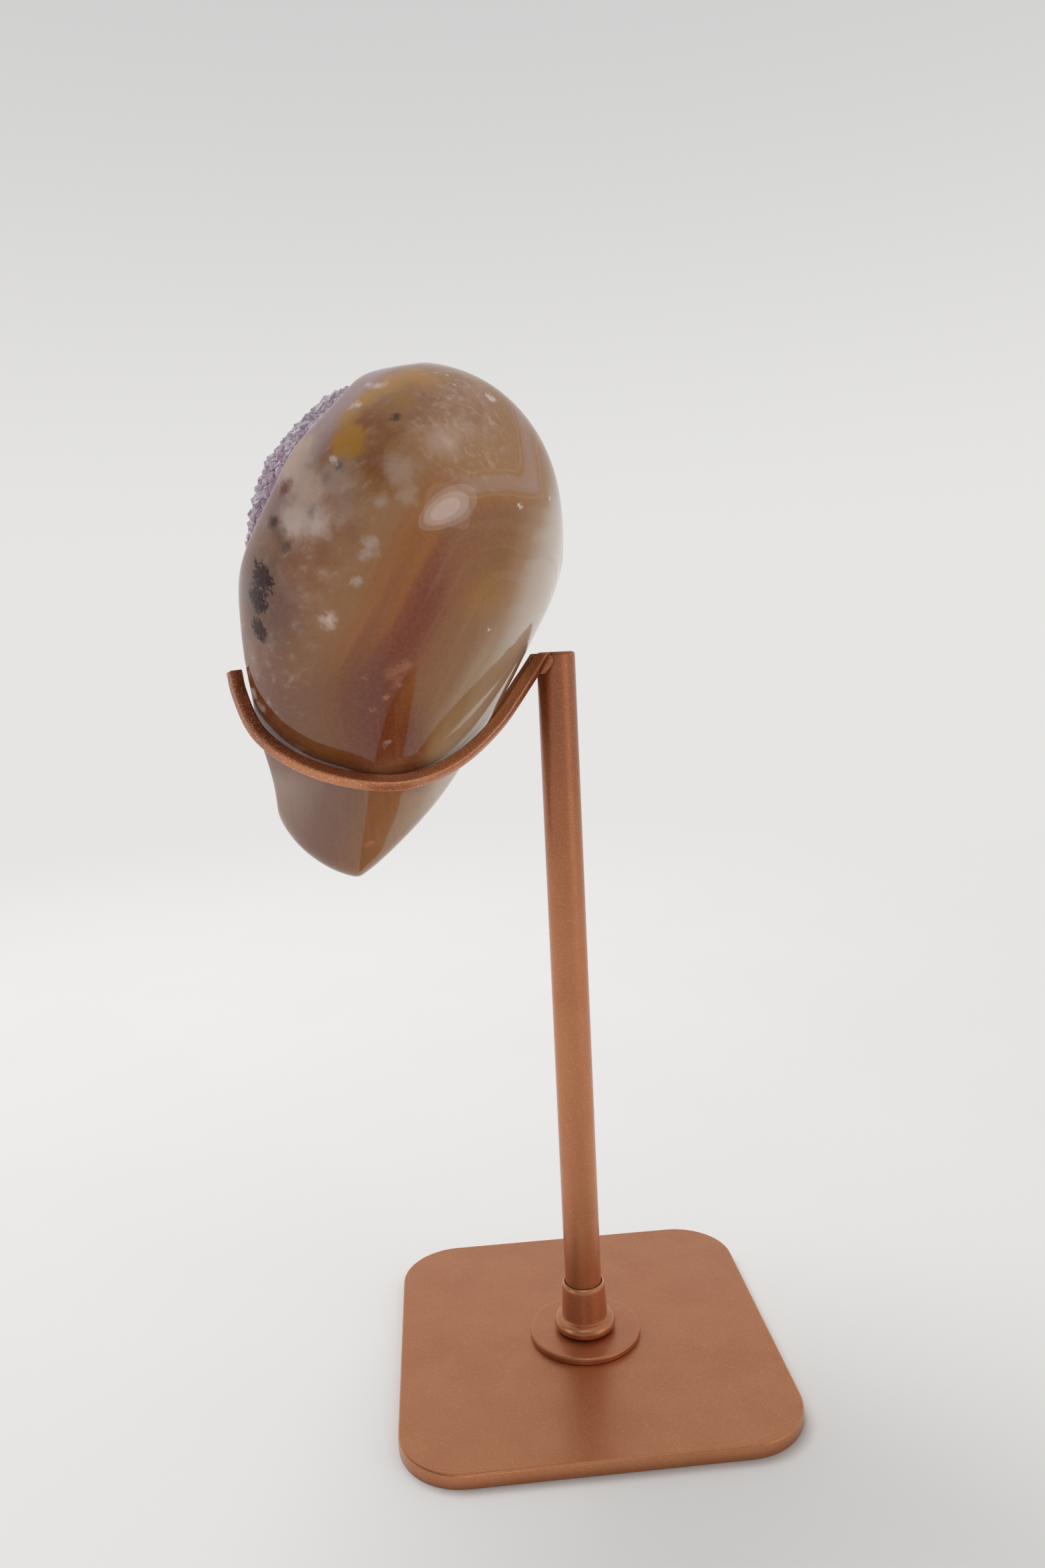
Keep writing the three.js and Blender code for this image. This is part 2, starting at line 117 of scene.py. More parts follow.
class Expr:
    """A shader value: an expression on it adds Math nodes."""

    def __init__(self, nodes: "Nodes", socket: bpy.types.NodeSocket) -> None:
        """Wraps an output socket of a node tree."""
        self.nodes = nodes
        self.socket = socket

    def math(self, operation: str, *values: Value) -> "Expr":
        """Adds one Math node with these inputs."""
        return self.nodes.node("ShaderNodeMath", {"operation": operation}, dict(enumerate(values)))

    def __add__(self, other: Value) -> "Expr":
        """self + other."""
        return self.math("ADD", self, other)

    __radd__ = __add__

    def __sub__(self, other: Value) -> "Expr":
        """self - other."""
        return self.math("SUBTRACT", self, other)

    def __rsub__(self, other: Value) -> "Expr":
        """other - self."""
        return self.math("SUBTRACT", other, self)

    def __mul__(self, other: Value) -> "Expr":
        """self * other."""
        return self.math("MULTIPLY", self, other)

    __rmul__ = __mul__

    def __truediv__(self, other: Value) -> "Expr":
        """self / other."""
        return self.math("DIVIDE", self, other)

    def __abs__(self) -> "Expr":
        """The value without its sign."""
        return self.math("ABSOLUTE", self)

    def above(self, other: Value) -> "Expr":
        """The larger of two values."""
        return self.math("MAXIMUM", self, other)

    def softly_above(self, other: Value, round_over: float) -> "Expr":
        """The larger of two values, with a round turn from one to the other."""
        return self.math("SMOOTH_MAX", self, other, round_over)

    def softly_below(self, other: Value, round_over: float) -> "Expr":
        """The smaller of two values, with a round turn from one to the other."""
        return self.math("SMOOTH_MIN", self, other, round_over)

    def rise(self, low: float, high: float) -> "Expr":
        """A soft step: 0 before low and 1 after high. Where high lies below low, it falls."""
        inputs = {"Value": self, "From Min": low, "From Max": high}
        return self.nodes.node("ShaderNodeMapRange", {"interpolation_type": "SMOOTHSTEP"}, inputs)

    def line(self, middle: float, half_width: float) -> "Expr":
        """A soft stripe: 1 where the value is middle, 0 from half_width away."""
        return abs(self - middle).rise(half_width, 0.0)


class Nodes:
    """A node tree, built by Python expressions."""

    def __init__(self, tree: bpy.types.NodeTree) -> None:
        """Wraps the tree that the nodes go into."""
        self.tree = tree

    def node(self, kind: str, settings: dict, inputs: dict, output: Union[int, str] = 0) -> Expr:
        """Adds any node.

        Args:
            kind: The node's type.
            settings: Its properties, and under "stops" a ramp's (place, colour) pairs.
            inputs: Values or links by socket name or number.
            output: The socket that is returned.

        Returns:
            The chosen output.
        """
        made = self.tree.nodes.new(kind)
        for key, value in settings.items():
            if key != "stops":
                setattr(made, key, value)
                continue
            ramp = made.color_ramp.elements
            while len(ramp) < len(value):
                ramp.new(0.5)
            for element, (at, colour) in zip(ramp, value):
                element.position = at
                element.color = colour
        for key, value in inputs.items():
            self.feed(made.inputs[key], value)
        return Expr(self, made.outputs[output])

    def feed(self, socket: bpy.types.NodeSocket, value: Value) -> None:
        """Links a value to a socket, or sets it there."""
        if isinstance(value, Expr):
            self.tree.links.new(value.socket, socket)
        else:
            socket.default_value = value

    def parts(self, vector: Expr) -> list[Expr]:
        """The x, y and z of a vector."""
        split = self.node("ShaderNodeSeparateXYZ", {}, {"Vector": vector}).socket.node
        return [Expr(self, socket) for socket in split.outputs]

    def vector(self, operation: str, *values: Value, scale: float | None = None) -> Expr:
        """Adds one Vector Math node.

        Args:
            operation: The node's operation.
            values: Its vector inputs.
            scale: The factor of a SCALE.

        Returns:
            The node's vector, or its number for LENGTH and DISTANCE.
        """
        inputs = dict(enumerate(values)) | ({} if scale is None else {"Scale": scale})
        output = "Value" if operation in ("LENGTH", "DISTANCE") else "Vector"
        return self.node("ShaderNodeVectorMath", {"operation": operation}, inputs, output)

    def mix(self, share: Value, first: Value, second: Value) -> Expr:
        """first where share is 0 and second where it is 1, as colours."""
        return self.node("ShaderNodeMix", {"data_type": "RGBA"}, {0: share, 6: first, 7: second}, 2)


class Shader(Nodes):
    """One node material with a Principled shader. Its places and grains are in millimetres."""

    name: str = "finish"

    def __init__(self) -> None:
        """Starts the material, with the piece's own coordinates."""
        self.material = bpy.data.materials.new(self.name)
        self.material.use_nodes = True
        super().__init__(self.material.node_tree)
        self.surface = self.tree.nodes["Principled BSDF"]
        place = self.tree.nodes.new("ShaderNodeTexCoord").outputs["Object"]
        self.place = self.vector("SCALE", Expr(self, place), scale=1 / MM)
        self.x, self.y, self.z = self.parts(self.place)
        self.colour: Value = (1.0, 1.0, 1.0, 1.0)

    def noise(self, grain: float, detail: float = 3.0, at: Expr | None = None, rough: float = 0.5,
              output: Union[int, str] = 0) -> Expr:
        """Soft noise round 0.5, in spots of a grain with finer layers, at the piece's place by default."""
        inputs = {"Vector": at or self.place, "Scale": 1 / grain, "Detail": detail, "Roughness": rough}
        return self.node("ShaderNodeTexNoise", {}, inputs, output)

    def cells(self, grain: float, feature: str = "F1", output: str = "Distance",
              at: Expr | None = None) -> Expr:
        """A cell pattern of a grain: the distance that the feature names, or a Color for each cell."""
        inputs = {"Vector": at or self.place, "Scale": 1 / grain}
        return self.node("ShaderNodeTexVoronoi", {"feature": feature}, inputs, output)

    def chance(self, grain: float) -> Expr:
        """A random number for each cell of a grain."""
        return self.node("ShaderNodeSeparateColor", {}, {"Color": self.cells(grain, output="Color")})

    def stretched(self, turn: Triple, stretch: Triple) -> Expr:
        """The place, turned by degrees and then squeezed, so that a pattern read there runs in streaks."""
        inputs = {"Vector": self.place, "Rotation": tuple(map(math.radians, turn)), "Scale": stretch}
        return self.node("ShaderNodeMapping", {"vector_type": "TEXTURE"}, inputs)

    def near(self, middle: Triple, outer: float, inner: float, at: Expr | None = None) -> Expr:
        """A soft round patch: 0 from outer away, 1 within inner."""
        return self.vector("DISTANCE", at or self.place, middle).rise(outer, inner)

    def patches(self, spots: Sequence[Patch], inner: float) -> Expr:
        """The strongest of several soft round patches, each with its middle, radius and strength."""
        patches = [self.near(middle, outer, inner) * strength for middle, outer, strength in spots]
        return reduce(Expr.above, patches)

    def ramp(self, value: Expr, bands: Bands) -> Expr:
        """A colour ramp over a value's own range.

        Args:
            value: What the ramp reads.
            bands: For each band a value, and red, green and blue as seen on the stone.

        Returns:
            The ramp's colour.
        """
        low, high = bands[0][0], bands[-1][0]
        stops = [((level - low) / (high - low), seen(*colour)) for level, *colour in bands]
        return self.node("ShaderNodeValToRGB", {"stops": stops}, {0: (value - low) / (high - low)})

    def lay(self, colour: Value, share: Value) -> None:
        """Lays a colour over those laid before, as far as share says."""
        self.colour = self.mix(share, self.colour, colour)

    def bump(self, height: Value, depth: float, strength: float) -> Expr:
        """The normal, bent by a relief of a depth."""
        inputs = {"Height": height, "Distance": depth * MM, "Strength": strength}
        return self.node("ShaderNodeBump", {}, inputs, "Normal")

    def finish(self, **sockets: Value) -> Finish:
        """Gives the Principled shader its colour and its other sockets.

        Args:
            sockets: Values by socket name, with _ for a space.

        Returns:
            The finished material.
        """
        for name, value in {"Base_Color": self.colour, **sockets}.items():
            self.feed(self.surface.inputs[name.replace("_", " ")], value)
        return self.material


class CopperPaint(Shader):
    """Satin copper-coloured metal paint, its fine flakes painted on as pale glints."""

    name: str = "copper_paint"
    body: Colour = srgb(196, 128, 86)
    dark: Colour = srgb(170, 100, 62)
    # pale flakes, painted on as glints
    glint_colour: Colour = srgb(240, 200, 170)
    # darker copper, laid on as painted shade
    shade_tone: Colour = srgb(150, 84, 50)
    flake: float = 0.13

    def make(self) -> Finish:
        """Builds the material: painted shade on the post's top and the prongs, more painted glints on the bars.

        Returns:
            The material.
        """
        mottle = self.noise(7.0, 4.0).rise(0.3, 0.75)
        chance = self.chance(self.flake)
        self.colour = self.mix(mottle * 0.25, self.body, self.dark)
        # painted shade: the darker tone laid here darkens the post's top under the stone and the prongs
        post_top = self.z.rise(58.0, 108.0) * self.y.rise(-6.0, -3.0)
        prongs = self.y.rise(-37.0, -44.0) * 0.9
        self.lay(self.shade_tone, post_top.above(prongs) * 0.85)
        # painted glints, stronger on the bars, where they also brighten the arms as painted light
        bars = self.z.rise(80.0, 92.0) * self.y.rise(-3.0, -6.0)
        self.lay(self.glint_colour, chance.rise(0.8, 1.0) * (0.2 + 0.45 * bars))
        return self.finish(
            Metallic=0.85,
            Roughness=0.27 + 0.1 * chance + 0.05 * mottle,
            Coat_Weight=0.35,
            Coat_Roughness=0.25,
            Normal=self.bump(self.noise(0.3, 2.0) + 0.6 * chance, 0.014, 0.5),
        )


class DruzyQuartz(Shader):
    """Lilac and grey quartz, some points paler than the others."""

    name: str = "druzy_quartz"
    lilac: Colour = srgb(190, 160, 184)
    grey: Colour = srgb(190, 175, 187)
    pale: Colour = srgb(232, 222, 230)

    def make(self) -> Finish:
        """Builds the material.

        Returns:
            The material.
        """
        each = self.chance(0.8)
        self.colour = self.mix(self.noise(9.0, 3.0).rise(0.35, 0.65), self.lilac, self.grey)
        self.lay(self.pale, each.rise(0.4, 1.0) * 0.7)
        return self.finish(
            Roughness=0.1 + 0.12 * each,
            IOR=1.544,
            Transmission_Weight=0.12,
            Subsurface_Weight=0.25,
            Subsurface_Radius=(1.0, 0.8, 1.0),
            Subsurface_Scale=0.001,
        )


class PaleFloor(Shader):
    """Matt white paper that turns into the bright room far from the part."""

    name: str = "pale_floor"
    paper: Colour = srgb(232, 231, 229)
    other: Colour = srgb(228, 227, 226)
    room: Colour = srgb(230, 229, 227)
    fade: tuple[float, float] = (60.0, 620.0)

    def make(self) -> Finish:
        """Builds the material.

        Returns:
            The material.
        """
        self.colour = self.mix(self.noise(60.0, 2.0), self.paper, self.other)
        self.finish(Roughness=0.85, Specular_IOR_Level=0.2)
        away = self.vector("LENGTH", self.place).rise(*self.fade)
        glow = self.node("ShaderNodeEmission", {}, {"Color": self.room, "Strength": 1.0})
        paper = Expr(self, self.surface.outputs["BSDF"])
        both = self.node("ShaderNodeMixShader", {}, {0: away, 1: paper, 2: glow})
        self.feed(self.tree.nodes["Material Output"].inputs["Surface"], both)
        return self.material


@dataclass(frozen=True)
class Mark:
    """One spot in the agate: a fleck, a patch or a stain with ragged edges."""

    place: Triple
    radius: float
    colour: Colour
    strength: float = 0.8
    soft: float = 0.6


WHITE = seen(192, 174, 166)
CREAM = seen(184, 161, 148)
CHALK = seen(164, 146, 136)
PINK = seen(168, 116, 86)
OCHRE = seen(158, 116, 60)
GOLD = seen(140, 104, 60)
RUST = seen(112, 62, 42)
SOOT = seen(58, 40, 34)
SLATE = seen(108, 98, 96)
UMBER = seen(86, 58, 44)

MARKS = (
    # ochre patch and streak near the top
    Mark((35.0, -27.2, 140.1), 3.3, OCHRE, 0.95, 0.55),
    Mark((32.6, -27.0, 143.0), 2.6, OCHRE, 0.85, 0.9),
    Mark((32.0, -24.6, 145.4), 2.8, OCHRE, 0.9, 0.9),
    Mark((31.0, -21.6, 147.2), 3.4, OCHRE, 0.9, 0.9),
    Mark((30.2, -18.4, 147.8), 3.8, OCHRE, 0.8, 0.9),
    Mark((33.5, -20.5, 144.4), 3.0, GOLD, 0.85, 0.9),
    Mark((28.5, -15.0, 148.0), 2.6, GOLD, 0.7, 0.9),
    # chalky blob by the druse, with its grey spots and rusty notch
    Mark((31.8, -32.8, 140.4), 3.4, CREAM, 0.75, 1.0),
    Mark((31.7, -34.0, 137.4), 4.2, CREAM, 0.95, 0.9),
    Mark((34.0, -32.2, 134.6), 4.2, CREAM, 0.9, 0.9),
    Mark((32.6, -34.4, 131.4), 3.6, WHITE, 0.8, 0.8),
    Mark((34.4, -31.2, 130.8), 3.0, WHITE, 0.7, 0.9),
    Mark((35.4, -28.6, 135.5), 4.4, CHALK, 0.6, 0.95),
    Mark((35.9, -27.6, 132.0), 3.0, CHALK, 0.25, 0.95),
    Mark((31.5, -35.3, 135.4), 1.8, RUST, 0.85, 0.9),
    Mark((34.5, -31.9, 132.1), 1.4, SLATE, 0.6, 1.0),
    Mark((35.2, -30.0, 135.6), 1.6, SLATE, 0.5, 0.9),
    Mark((30.1, -37.0, 131.6), 1.6, SOOT, 0.85, 1.0),
    Mark((31.4, -35.5, 128.2), 1.5, SOOT, 0.75, 1.0),
    Mark((35.6, -28.3, 137.3), 1.1, SLATE, 0.9, 0.8),
    Mark((35.2, -29.0, 137.9), 0.9, WHITE, 0.8, 0.9),
    # brown haze that joins the dark spots along the rim
    Mark((30.8, -36.2, 129.6), 2.8, UMBER, 0.55, 1.0),
    Mark((28.8, -37.8, 126.6), 3.0, UMBER, 0.55, 1.0),
    # pale haze between the crest and the corner
    Mark((34.9, -15.7, 139.9), 3.6, CREAM, 0.45, 1.0),
    Mark((35.8, -17.4, 138.6), 1.6, CREAM, 0.15, 1.0),
    Mark((32.7, -12.9, 141.6), 2.6, CREAM, 0.3, 1.0),
    # rusty patches and a dark spot right of the ochre
    Mark((35.6, -23.6, 141.2), 1.9, RUST, 0.3, 0.9),
    Mark((37.0, -24.0, 137.2), 2.6, RUST, 0.45, 0.9),
    Mark((36.3, -22.6, 135.2), 2.4, RUST, 0.35, 0.9),
    Mark((35.5, -21.5, 142.5), 0.9, SOOT, 0.8, 0.8),
    # white flecks
    Mark((32.1, -25.9, 144.8), 1.2, WHITE, 0.8, 1.0),
    Mark((30.7, -23.2, 147.2), 1.5, WHITE, 0.7, 1.0),
    Mark((29.8, -24.6, 147.6), 1.2, WHITE, 0.7, 1.0),
    Mark((36.6, -25.1, 127.8), 1.5, CHALK, 0.75, 1.0),
    Mark((36.2, -25.8, 126.6), 1.3, CHALK, 0.6, 1.0),
    Mark((34.2, -27.2, 123.5), 1.2, CHALK, 0.8, 1.0),
    Mark((29.4, -31.3, 119.2), 1.7, WHITE, 0.75, 1.0),
    Mark((29.9, -30.6, 119.9), 1.4, WHITE, 0.5, 1.0),
    Mark((26.2, -9.5, 145.9), 1.0, WHITE, 0.8),
    Mark((37.6, -21.1, 136.2), 3.2, CHALK, 0.55, 0.95),
    Mark((37.8, -20.5, 133.2), 1.9, CHALK, 0.4, 0.9),
    Mark((37.4, -23.4, 132.6), 1.3, CHALK, 0.5, 0.9),
    Mark((24.3, -11.0, 117.7), 0.4, WHITE, 0.9),
    Mark((6.8, -29.3, 87.0), 1.0, PINK, 0.7, 0.8),
    Mark((28.3, -6.2, 132.7), 0.6, WHITE, 0.8),
    Mark((20.6, -1.6, 134.1), 0.5, WHITE, 0.9),
    # pink fleck with its small neighbours in the lower middle
    Mark((26.6, -22.2, 113.6), 1.6, PINK, 0.4, 1.0),
    Mark((26.4, -23.6, 112.4), 1.9, PINK, 0.35, 1.0),
    Mark((25.6, -23.4, 110.6), 1.1, PINK, 0.5, 1.0),
    Mark((26.0, -27.3, 112.0), 0.7, PINK, 0.5, 1.0),
    Mark((24.9, -24.8, 109.2), 1.0, PINK, 0.6, 0.8),
    Mark((23.2, -26.7, 107.8), 0.6, PINK, 0.5, 1.0),
    Mark((18.9, -25.2, 102.7), 0.9, CHALK, 0.4, 1.0),
    # whitish vein with rusty cracks behind the prong
    Mark((12.4, -43.7, 110.4), 1.4, WHITE, 0.8),
    Mark((12.7, -43.0, 108.2), 1.4, CHALK, 0.8),
    Mark((12.6, -42.6, 108.9), 0.7, seen(150, 66, 36), 0.9),
    Mark((13.6, -37.9, 101.6), 2.2, CHALK, 0.4, 0.9),
)


class PolishedAgate(Shader):
    """Translucent banded agate with a high polish.

    Its bands run round a corner behind the near lobe and then down the flank. They are the levels of one
    field: it is 0 on the inner amber line, 3 on the outer one, and grows towards the back. A band holds its
    level, and its red, green and blue as seen on the stone.
    """

    name: str = "polished_agate"
    inner_line: tuple[float, float] = (-5.8, 136.4)
    flank_at: tuple[float, float] = (-20.1, 127.3)
    flank_slope: tuple[float, float] = (0.839, -0.544)
    foot_line: float = -33.5
    outer_level: float = 3.0
    druse_bands: Bands = (
        (-22.0, 128, 88, 72), (-14.0, 118, 77, 57), (-8.0, 124, 82, 57), (-3.0, 134, 95, 63),
        (0.0, 132, 91, 56), (2.5, 122, 76, 45), (4.3, 119, 71, 41), (6.0, 108, 61, 39), (8.5, 108, 62, 41),
        (11.0, 119, 75, 50),
    )
    back_bands: Bands = (
        (-15.0, 121, 80, 55), (-9.5, 117, 79, 47), (-6.6, 131, 99, 72), (-4.6, 152, 134, 120),
        (-2.0, 162, 147, 135), (4.0, 158, 142, 124), (8.0, 138, 112, 88), (11.0, 150, 128, 106),
        (16.0, 128, 94, 68),
    )
    foot_bands: Bands = (
        (-41.0, 146, 120, 106), (-35.0, 119, 89, 77), (-31.0, 117, 85, 69), (-27.5, 125, 88, 65),
        (-24.3, 131, 94, 68), (-20.5, 138, 112, 88), (-17.0, 168, 156, 144),
    )
    amber: Colour = seen(142, 90, 42)
    tan: Colour = seen(142, 106, 76)
    orange: Colour = seen(162, 120, 78)
    lilac: Colour = seen(156, 134, 122)
    druse_rim: Colour = seen(146, 126, 126)
    dull_ochre: Colour = seen(132, 92, 46)
    # olive-brown, laid on only as painted shade by the arm's top
    olive: Colour = seen(132, 109, 82)
    rosy: Colour = seen(150, 118, 102)
    milk: Colour = seen(172, 150, 136)
    deep_umber: Colour = seen(96, 56, 35)
    speckled: Triple = (31.0, -13.5, 141.5)
    ochre_patch: Triple = (28.5, -11.3, 121.2)
    brown_haze: Triple = (24.0, -40.0, 122.5)
    ferny: tuple[Patch, ...] = (
        ((26.2, -39.4, 125.2), 3.2, 1.0), ((23.6, -40.6, 122.6), 3.0, 1.0), ((20.9, -41.0, 118.8), 2.4, 0.9),
    )
    pitted: tuple[Patch, ...] = (((27.0, -14.6, 148.8), 5.0, 1.0), ((20.0, -5.0, 145.0), 6.0, 0.7))

    def __init__(self) -> None:
        """Finds how the bands, streaks and clouds run through the stone."""
        super().__init__()
        self.unseen = self.x.rise(18.0, 6.0) * self.z.rise(112.0, 122.0)
        reach = 3.0 + 16.0 * self.x.rise(4.0, -14.0) + 6.0 * self.unseen
        wave = (self.noise(7.0, 1.0) - 0.5) * 2.4 * self.z.rise(116.0, 128.0)
        elsewhere = self.vector("ADD", self.place, (40.0, 9.0, 3.0))
        self.y = self.y + (self.noise(26.0, 1.0) - 0.5) * reach + wave
        self.z = self.z + (self.noise(31.0, 1.0, at=elsewhere) - 0.5) * reach + wave
        self.field = self.levels()
        squeezed = {0: self.field * 0.9, 1: self.z * 0.06, 2: self.x * 0.05}
        along = self.node("ShaderNodeCombineXYZ", {}, squeezed)
        self.streaks = self.noise(1.0, 3.0, at=along)
        self.wide = self.noise(3.2, 2.0, at=along)
        self.ripple = (self.wide - 0.5) * 2.4
        self.clouds = self.noise(5.0, 4.0, rough=0.55)
        self.ferns = self.noise(1.2, 4.0, rough=0.75)
        self.at_corner = self.y.rise(-18.0, -11.0) * self.z.rise(122.0, 131.0)
        jitter = self.noise(1 / 0.7, 2.0, rough=0.6, output="Color")
        centred = self.vector("SUBTRACT", jitter, (0.5, 0.5, 0.5))
        self.ragged = self.vector("ADD", self.place, self.vector("SCALE", centred, scale=2.6))

    def levels(self) -> Expr:
        """The field whose levels the bands follow, in millimetres from the inner amber line.

        Returns:
            The field.
        """
        behind = self.y - self.inner_line[0]
        below = self.inner_line[1] - self.z
        across, up = self.flank_slope
        flank = (self.y - self.flank_at[0]) * across + (self.z - self.flank_at[1]) * up
        foot = self.y - self.foot_line
        down = below.softly_below((flank + self.outer_level).softly_below(foot, 4.0), 2.5)
        return behind.softly_above(down, 2.2)

    def lay_bands(self) -> None:
        """Broad bands, which turn olive and then grey-green and clear towards the back, and painted shade by
        the arm's top.
        """
        self.colour = self.ramp(self.field + self.ripple, self.druse_bands)
        behind = self.field.rise(8.0, 11.5).above(self.field.rise(3.2, 4.4) * self.y.rise(-20.0, -14.0))
        behind = behind + (self.field.rise(0.0, 13.0) - behind) * self.unseen
        side = self.y + (125.0 - self.z) * 0.5 + self.ripple * 1.3
        foot = self.y - (self.z - 94.8) * 0.41 + self.ripple
        self.lay(self.ramp(side, self.back_bands), behind)
        # painted shade: olive-brown laid low on the stone's right, where the arm's top and the post shade it
        self.lay(self.olive, side.rise(-9.5, -6.0) * self.z.rise(120.0, 112.0) * 0.75)
        self.lay(self.ramp(foot, self.foot_bands), self.z.rise(103.0, 97.0))

    def lay_corner(self) -> None:
        """The corner: a lilac band between two fine amber lines."""
        outer = self.y.rise(-20.0, -12.0) * self.z.rise(118.0, 128.0)
        self.lay(self.lilac, self.field.rise(0.2, 0.8) * self.field.rise(3.0, 2.2) * self.at_corner * 0.35)
        self.lay(self.orange, self.field.line(0.0, 0.3) * self.at_corner * 0.45)
        self.lay(self.orange, self.field.line(3.0, 0.35) * outer * 0.5)
        self.lay(self.dull_ochre, self.field.line(3.4, 1.8) * self.y.rise(-30.0, -13.0) * 0.6)

    def lay_flank(self) -> None:
        """Amber streaks on either side of a dark one, and fine streaks, stronger on the far side."""
        flank = self.y.rise(-13.0, -18.0) * self.z.rise(98.0, 108.0)
        low = self.z.rise(111.0, 103.0) * self.z.rise(93.0, 97.0)
        self.lay(self.amber, self.field.line(1.4, 2.2) * flank * self.streaks.rise(0.2, 0.7) * 0.6)
        self.lay(self.amber, self.field.line(4.1, 1.2) * flank * self.z.rise(112.0, 120.0) * 0.4)
        self.lay(self.deep_umber, self.field.line(11.5, 3.5) * low * 0.75)
        self.lay(self.deep_umber, self.field.line(6.8, 2.4) * flank * self.wide.rise(0.3, 0.7) * 0.3)
        self.lay(self.milk, self.streaks.rise(0.52, 0.8) * (0.08 + 0.3 * self.unseen))
        self.lay(self.deep_umber, self.streaks.rise(0.45, 0.2) * (0.14 + 0.3 * self.unseen))

    def lay_mottling(self) -> None:
        """The mottled part towards the druse, speckles by the corner and an ochre patch in the olive part."""
        mottled = self.field.rise(0.0, -6.0) * self.z.rise(100.0, 112.0)
        grains = self.noise(2.0, 4.0, at=self.stretched((28.0, 0.0, 0.0), (1.0, 1.9, 0.8)), rough=0.6)
        deep = self.z.rise(120.0, 108.0) * self.z.rise(96.0, 100.0) * self.y.rise(-19.0, -27.0)
        self.lay(self.tan, self.z.rise(122.0, 134.0) * self.field.rise(1.0, -2.0) * 0.5)
        self.lay(self.deep_umber, deep * 0.5)
        self.lay(self.rosy, self.clouds.rise(0.48, 0.7) * mottled * 0.45)
        self.lay(self.dull_ochre, self.field.line(-1.5, 3.5) * self.at_corner * 0.5)
        self.lay(RUST, self.clouds.rise(0.5, 0.34) * mottled * 0.25)
        self.lay(RUST, grains.rise(0.5, 0.3) * mottled * 0.4)
        self.lay(self.milk, grains.rise(0.52, 0.8) * mottled * 0.6)
        speckles = self.noise(1.1, 3.0, at=self.stretched((-35.0, 0.0, 0.0), (1.0, 1.5, 0.8)), rough=0.6)
        cloud = self.near(self.speckled, 12.0, 3.0)
        self.lay(self.milk, cloud * 0.14 + speckles.rise(0.5, 0.75) * cloud * 0.5)
        self.lay(self.dull_ochre, self.near(self.ochre_patch, 5.4, 0.6) * (0.35 + 0.6 * self.streaks))

    def lay_rim(self) -> None:
        """A pale lilac rim along the druse, and a brown haze round the ferny growths."""
        inwards = (self.y + 26.4) * -0.76 + (self.z - 146.7) * 0.65
        self.lay(self.druse_rim, inwards.rise(-3.4, -1.2) * self.z.rise(126.0, 136.0) * 0.85)
        self.lay(UMBER, self.near(self.brown_haze, 10.0, 2.0) * (0.3 + self.clouds) * 0.9)

    def lay_marks(self) -> None:
        """The single marks, with ragged edges."""
        for mark in MARKS:
            inside = self.near(mark.place, mark.radius, mark.radius * (1 - mark.soft), at=self.ragged)
            self.lay(mark.colour, inside * mark.strength)

    def lay_growths(self) -> Expr:
        """Black ferny growths near the rim.

        Returns:
            Where they are.
        """
        branches = self.cells(1.4, "DISTANCE_TO_EDGE", at=self.ragged).rise(0.22, 0.06)
        growth = self.patches(self.ferny, 0.3)
        core = (self.ferns + growth * 0.4).rise(0.66, 0.76)
        black = core.above(branches * (self.ferns + growth * 0.6).rise(0.55, 0.7))
        grown = black * growth.rise(0.0, 0.2)
        self.lay(SOOT, grown)
        return grown

    def lay_crest(self) -> None:
        """Dark and pale specks along the crest, which look like pits; the dark ones are painted shade in the
        pits.
        """
        pits = self.patches(self.pitted, 2.0)
        specks = self.cells(0.9)
        # dark specks: painted shade in the crest's pits
        self.lay(SLATE, specks.rise(0.3, 0.14) * pits * self.ferns.rise(0.5, 0.56) * 0.8)
        self.lay(WHITE, specks.rise(0.34, 0.2) * pits * self.ferns.rise(0.46, 0.4) * 0.7)

    def make(self) -> Finish:
        """Lays all the colours, and a fine grain over them, and polishes the stone.

        Returns:
            The material.
        """
        self.lay_bands()
        self.lay_corner()
        self.lay_flank()
        self.lay_mottling()
        self.lay_rim()
        self.lay_marks()
        grown = self.lay_growths()
        self.lay_crest()
        self.lay(self.milk, self.noise(0.5, 2.0).rise(0.3, 0.7) * 0.05)
        wear = self.noise(18.0, 3.0)
        return self.finish(
            Metallic=grown * 0.9,
            Roughness=0.035 + 0.035 * wear,
            IOR=1.544,
            Subsurface_Weight=0.15,
            Subsurface_Radius=(1.0, 0.55, 0.35),
            Subsurface_Scale=0.0025,
            Normal=self.bump(wear, 0.05, 0.3),
        )


